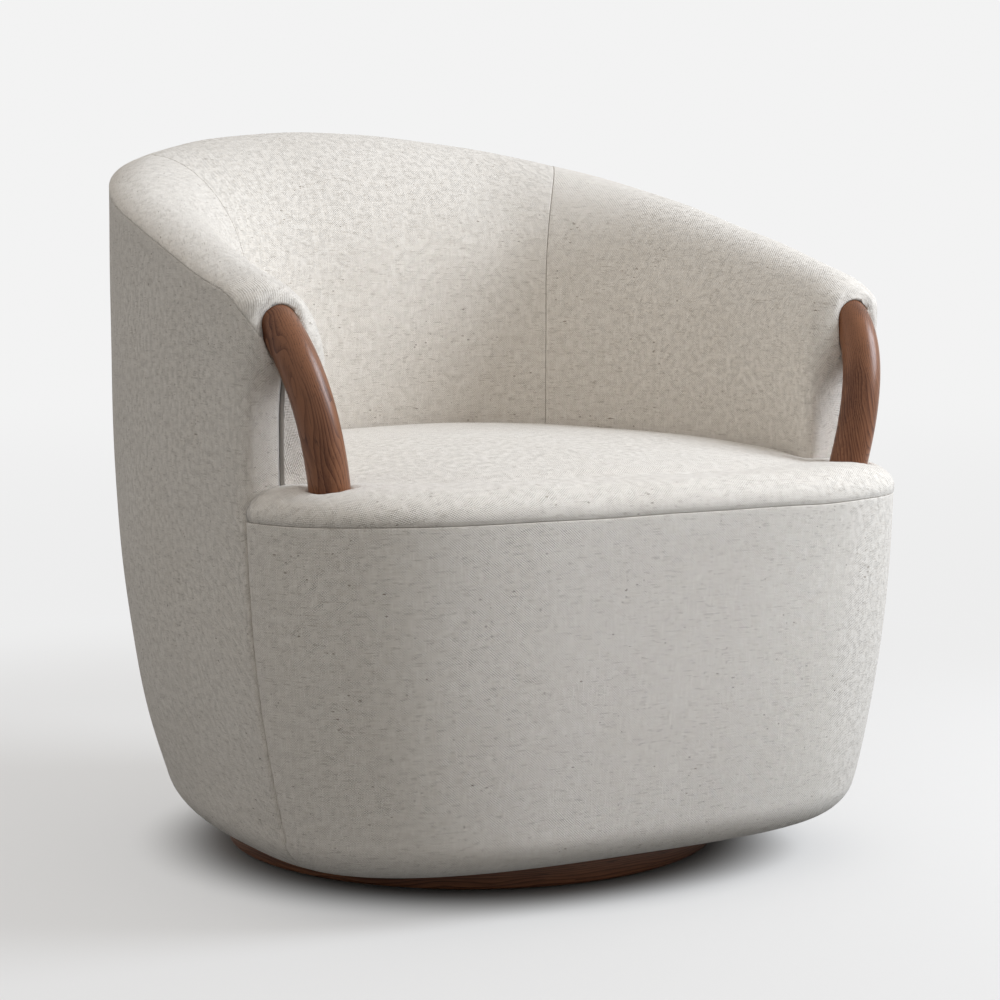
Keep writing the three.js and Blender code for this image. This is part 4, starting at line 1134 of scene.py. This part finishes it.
# Darker colour, lighter colour, how fine the grain is along x, y and z, roughness, metal
plainFinishes = {
    "plywood": ((0.36, 0.24, 0.13), (0.62, 0.46, 0.29), (6, 90, 260), 0.7, 0),
    "hardwood": ((0.30, 0.18, 0.09), (0.52, 0.35, 0.20), (12, 90, 90), 0.6, 0),
    "steel": ((0.42, 0.43, 0.45), (0.60, 0.61, 0.63), (60, 60, 60), 0.34, 1),
    "black_steel": ((0.015, 0.015, 0.017), (0.035, 0.035, 0.038), (90, 90, 90), 0.45, 0.6),
    "nylon": ((0.60, 0.59, 0.56), (0.70, 0.69, 0.65), (40, 40, 40), 0.5, 0),
    "felt": ((0.17, 0.16, 0.15), (0.36, 0.34, 0.31), (500, 500, 500), 0.97, 0),
    "cambric": ((0.010, 0.010, 0.011), (0.028, 0.028, 0.03), (900, 900, 200), 0.95, 0),
    "glide": ((0.035, 0.035, 0.037), (0.06, 0.06, 0.063), (200, 200, 200), 0.7, 0),
    "thread": ((0.40, 0.36, 0.31), (0.56, 0.51, 0.45), (900, 900, 900), 0.8, 0),
}


def plainMaterial(name):
    low, high, fineness, roughness, metal = plainFinishes[name]
    n = Finish(name)
    grain = n.noise(n.vector("MULTIPLY", n.add("TexCoord").outputs["Object"], fineness), 1.0, 4.0, 0.6)
    return n.surface({
        "Base Color": n.ramp(grain, [(0.3, low), (0.7, high)]),
        "Roughness": n.range(grain, 0.2, 0.8, roughness - 0.07, roughness + 0.07, "LINEAR"),
        "Metallic": metal,
        "Normal": n.bump(grain, 0.2, 0.0004),
    })


# Floor, backdrop and light

studio = {
    "floorSize": 14.0,  # half its width
    "floorColour": (0.365, 0.355, 0.342),
    "nearGlow": 0.425,
    "nearFrom": 0.255,
    "nearTo": 0.37,
    "bounceColour": (0.14, 0.14, 0.137),
    "floorGlow": 0.85,
    "backdrop": 0.895,
    "fadeStart": 0.9,
    "fadeEnd": 1.7,
    "world": 0.62,
    "worldColour": (1.02, 1.0, 0.98),
    "keyPlace": (2.383, -1.465, 1.95),
    "keyTarget": (0, -0.05, 0.35),
    "keySize": 1.7,
    "keyPower": 96,
    "keyColour": (0.91, 0.99, 1.10),
}


def makeFloor():
    c = studio
    size = c["floorSize"]
    corners = [(-size, -size, 0), (size, -size, 0), (size, size, 0), (-size, size, 0)]
    floor = meshPiece("floor", corners, [(0, 1, 2, 3)])
    n = Finish("paleFloor")
    away = n.add("VectorMath", {"operation": "LENGTH"}, i0=n.add("TexCoord").outputs["Object"]).outputs[1]
    n.surface({"Base Color": (*c["floorColour"], 1), "Roughness": 0.9, "Specular IOR Level": 0.1})
    white = (1, 1, 1, 1)
    glow = n.add("Emission", Color=white, Strength=n.range(away, 1.5, 9.0, c["floorGlow"], c["backdrop"]))
    nearStrength = n.range(away, c["nearFrom"], c["nearTo"], 0.0, c["nearGlow"])
    near = n.add("AddShader", i0=n.shader, i1=n.add("Emission", Color=white, Strength=nearStrength))
    pale = n.add("MixShader", i0=n.range(away, c["fadeStart"], c["fadeEnd"]), i1=near, i2=glow)
    dim = n.add("BsdfDiffuse", Color=(*c["bounceColour"], 1))
    n.put(n.output.inputs[0], n.add("MixShader", i0=n.seenRay(), i1=dim, i2=pale))
    floor.data.materials.append(n.material)


def makeWorld():
    world = bpy.data.worlds.new("studio")
    world.use_nodes = True
    bpy.context.scene.world = world
    n = Nodes(world.node_tree)
    light = n.add("Background", Color=(*studio["worldColour"], 1), Strength=studio["world"])
    backdrop = n.add("Background", Color=(1, 1, 1, 1), Strength=studio["backdrop"])
    n.add("OutputWorld", Surface=n.add("MixShader", i0=n.seenRay(), i1=light, i2=backdrop))


def makeLamp():
    c = studio
    data = bpy.data.lights.new("keyLamp", "AREA")
    data.shape = "DISK"
    data.size = c["keySize"]
    data.energy = c["keyPower"]
    data.color = c["keyColour"]
    lamp = bpy.data.objects.new("keyLamp", data)
    lamp.location = c["keyPlace"]
    aim = Vector(c["keyTarget"]) - Vector(c["keyPlace"])
    lamp.rotation_euler = aim.to_track_quat("-Z", "Y").to_euler()
    bpy.context.scene.collection.objects.link(lamp)


# Putting it together

bpy.context.scene.view_settings.view_transform = "Standard"
makeCamera()
makeWorld()
makeFloor()
makeLamp()
print("stage set")

finishes = {name: plainMaterial(name) for name in plainFinishes}
linenFinish = linenMaterial()
armWalnut = walnutMaterial("walnut", (-0.20, 0.12, 0), (0.10, 0.16, 0))
# The plinth's walnut is the arms' walnut made darker, as painted shade under the seat's overhang
shadedPlinthWalnut = walnutMaterial("shadedPlinthWalnut", (-0.05, 0.08, 0), (0, 0, 0), onUv=True, paintedShade=0.85)
for name, node in nodes.items():
    slotName = next(s["material_slot"] for s in frame["record"]["subparts"] if s["node"] == name)
    material = finishes.get(slotName) or (linenFinish if slotName == "linen" else armWalnut)
    node.data.materials.clear()
    node.data.materials.append(material)
print("materials made")


def finish(piece, material, slotName, body, *replaced, fill=None):
    piece.data.materials.clear()
    piece.data.materials.append(material)
    piece.data.polygons.foreach_set("material_index", [0] * len(piece.data.polygons))
    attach(piece, body)
    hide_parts(*replaced)


# A piece of cloth, opened for the wooden arms on the given sides
def upholster(piece, sides, node, fill=0.9):
    makeUneven(piece)
    if sides:
        fitRoundArms(piece, sides)
        cutHoles(piece, sides)
    finish(piece, linenFinish, "linen", "chair", node, fill=fill)
    print(piece.name, "made", len(piece.data.polygons))


upholster(makeOuterCover(), (1, -1), "outer_panel")
upholster(makeInnerSide(1), (1,), "inner_pad_right")
upholster(makeInnerSide(-1), (-1,), "inner_pad_left")
upholster(makeInnerBack(), (), "inner_pad_back")
upholster(makeCushion(), (1, -1), "seat_cushion", fill=0.8)
upholster(makeApron(), (), "seat_apron")

for arm, node in zip(makeArms(), ("arm_right", "arm_left")):
    finish(arm, armWalnut, "walnut", "chair", node)
finish(makePlinth(), shadedPlinthWalnut, "walnut", "base", "plinth_ring")
print("wood made")
finish(makeDeckPad(), finishes["felt"], "felt", "chair", "deck_pad", fill=0.9)
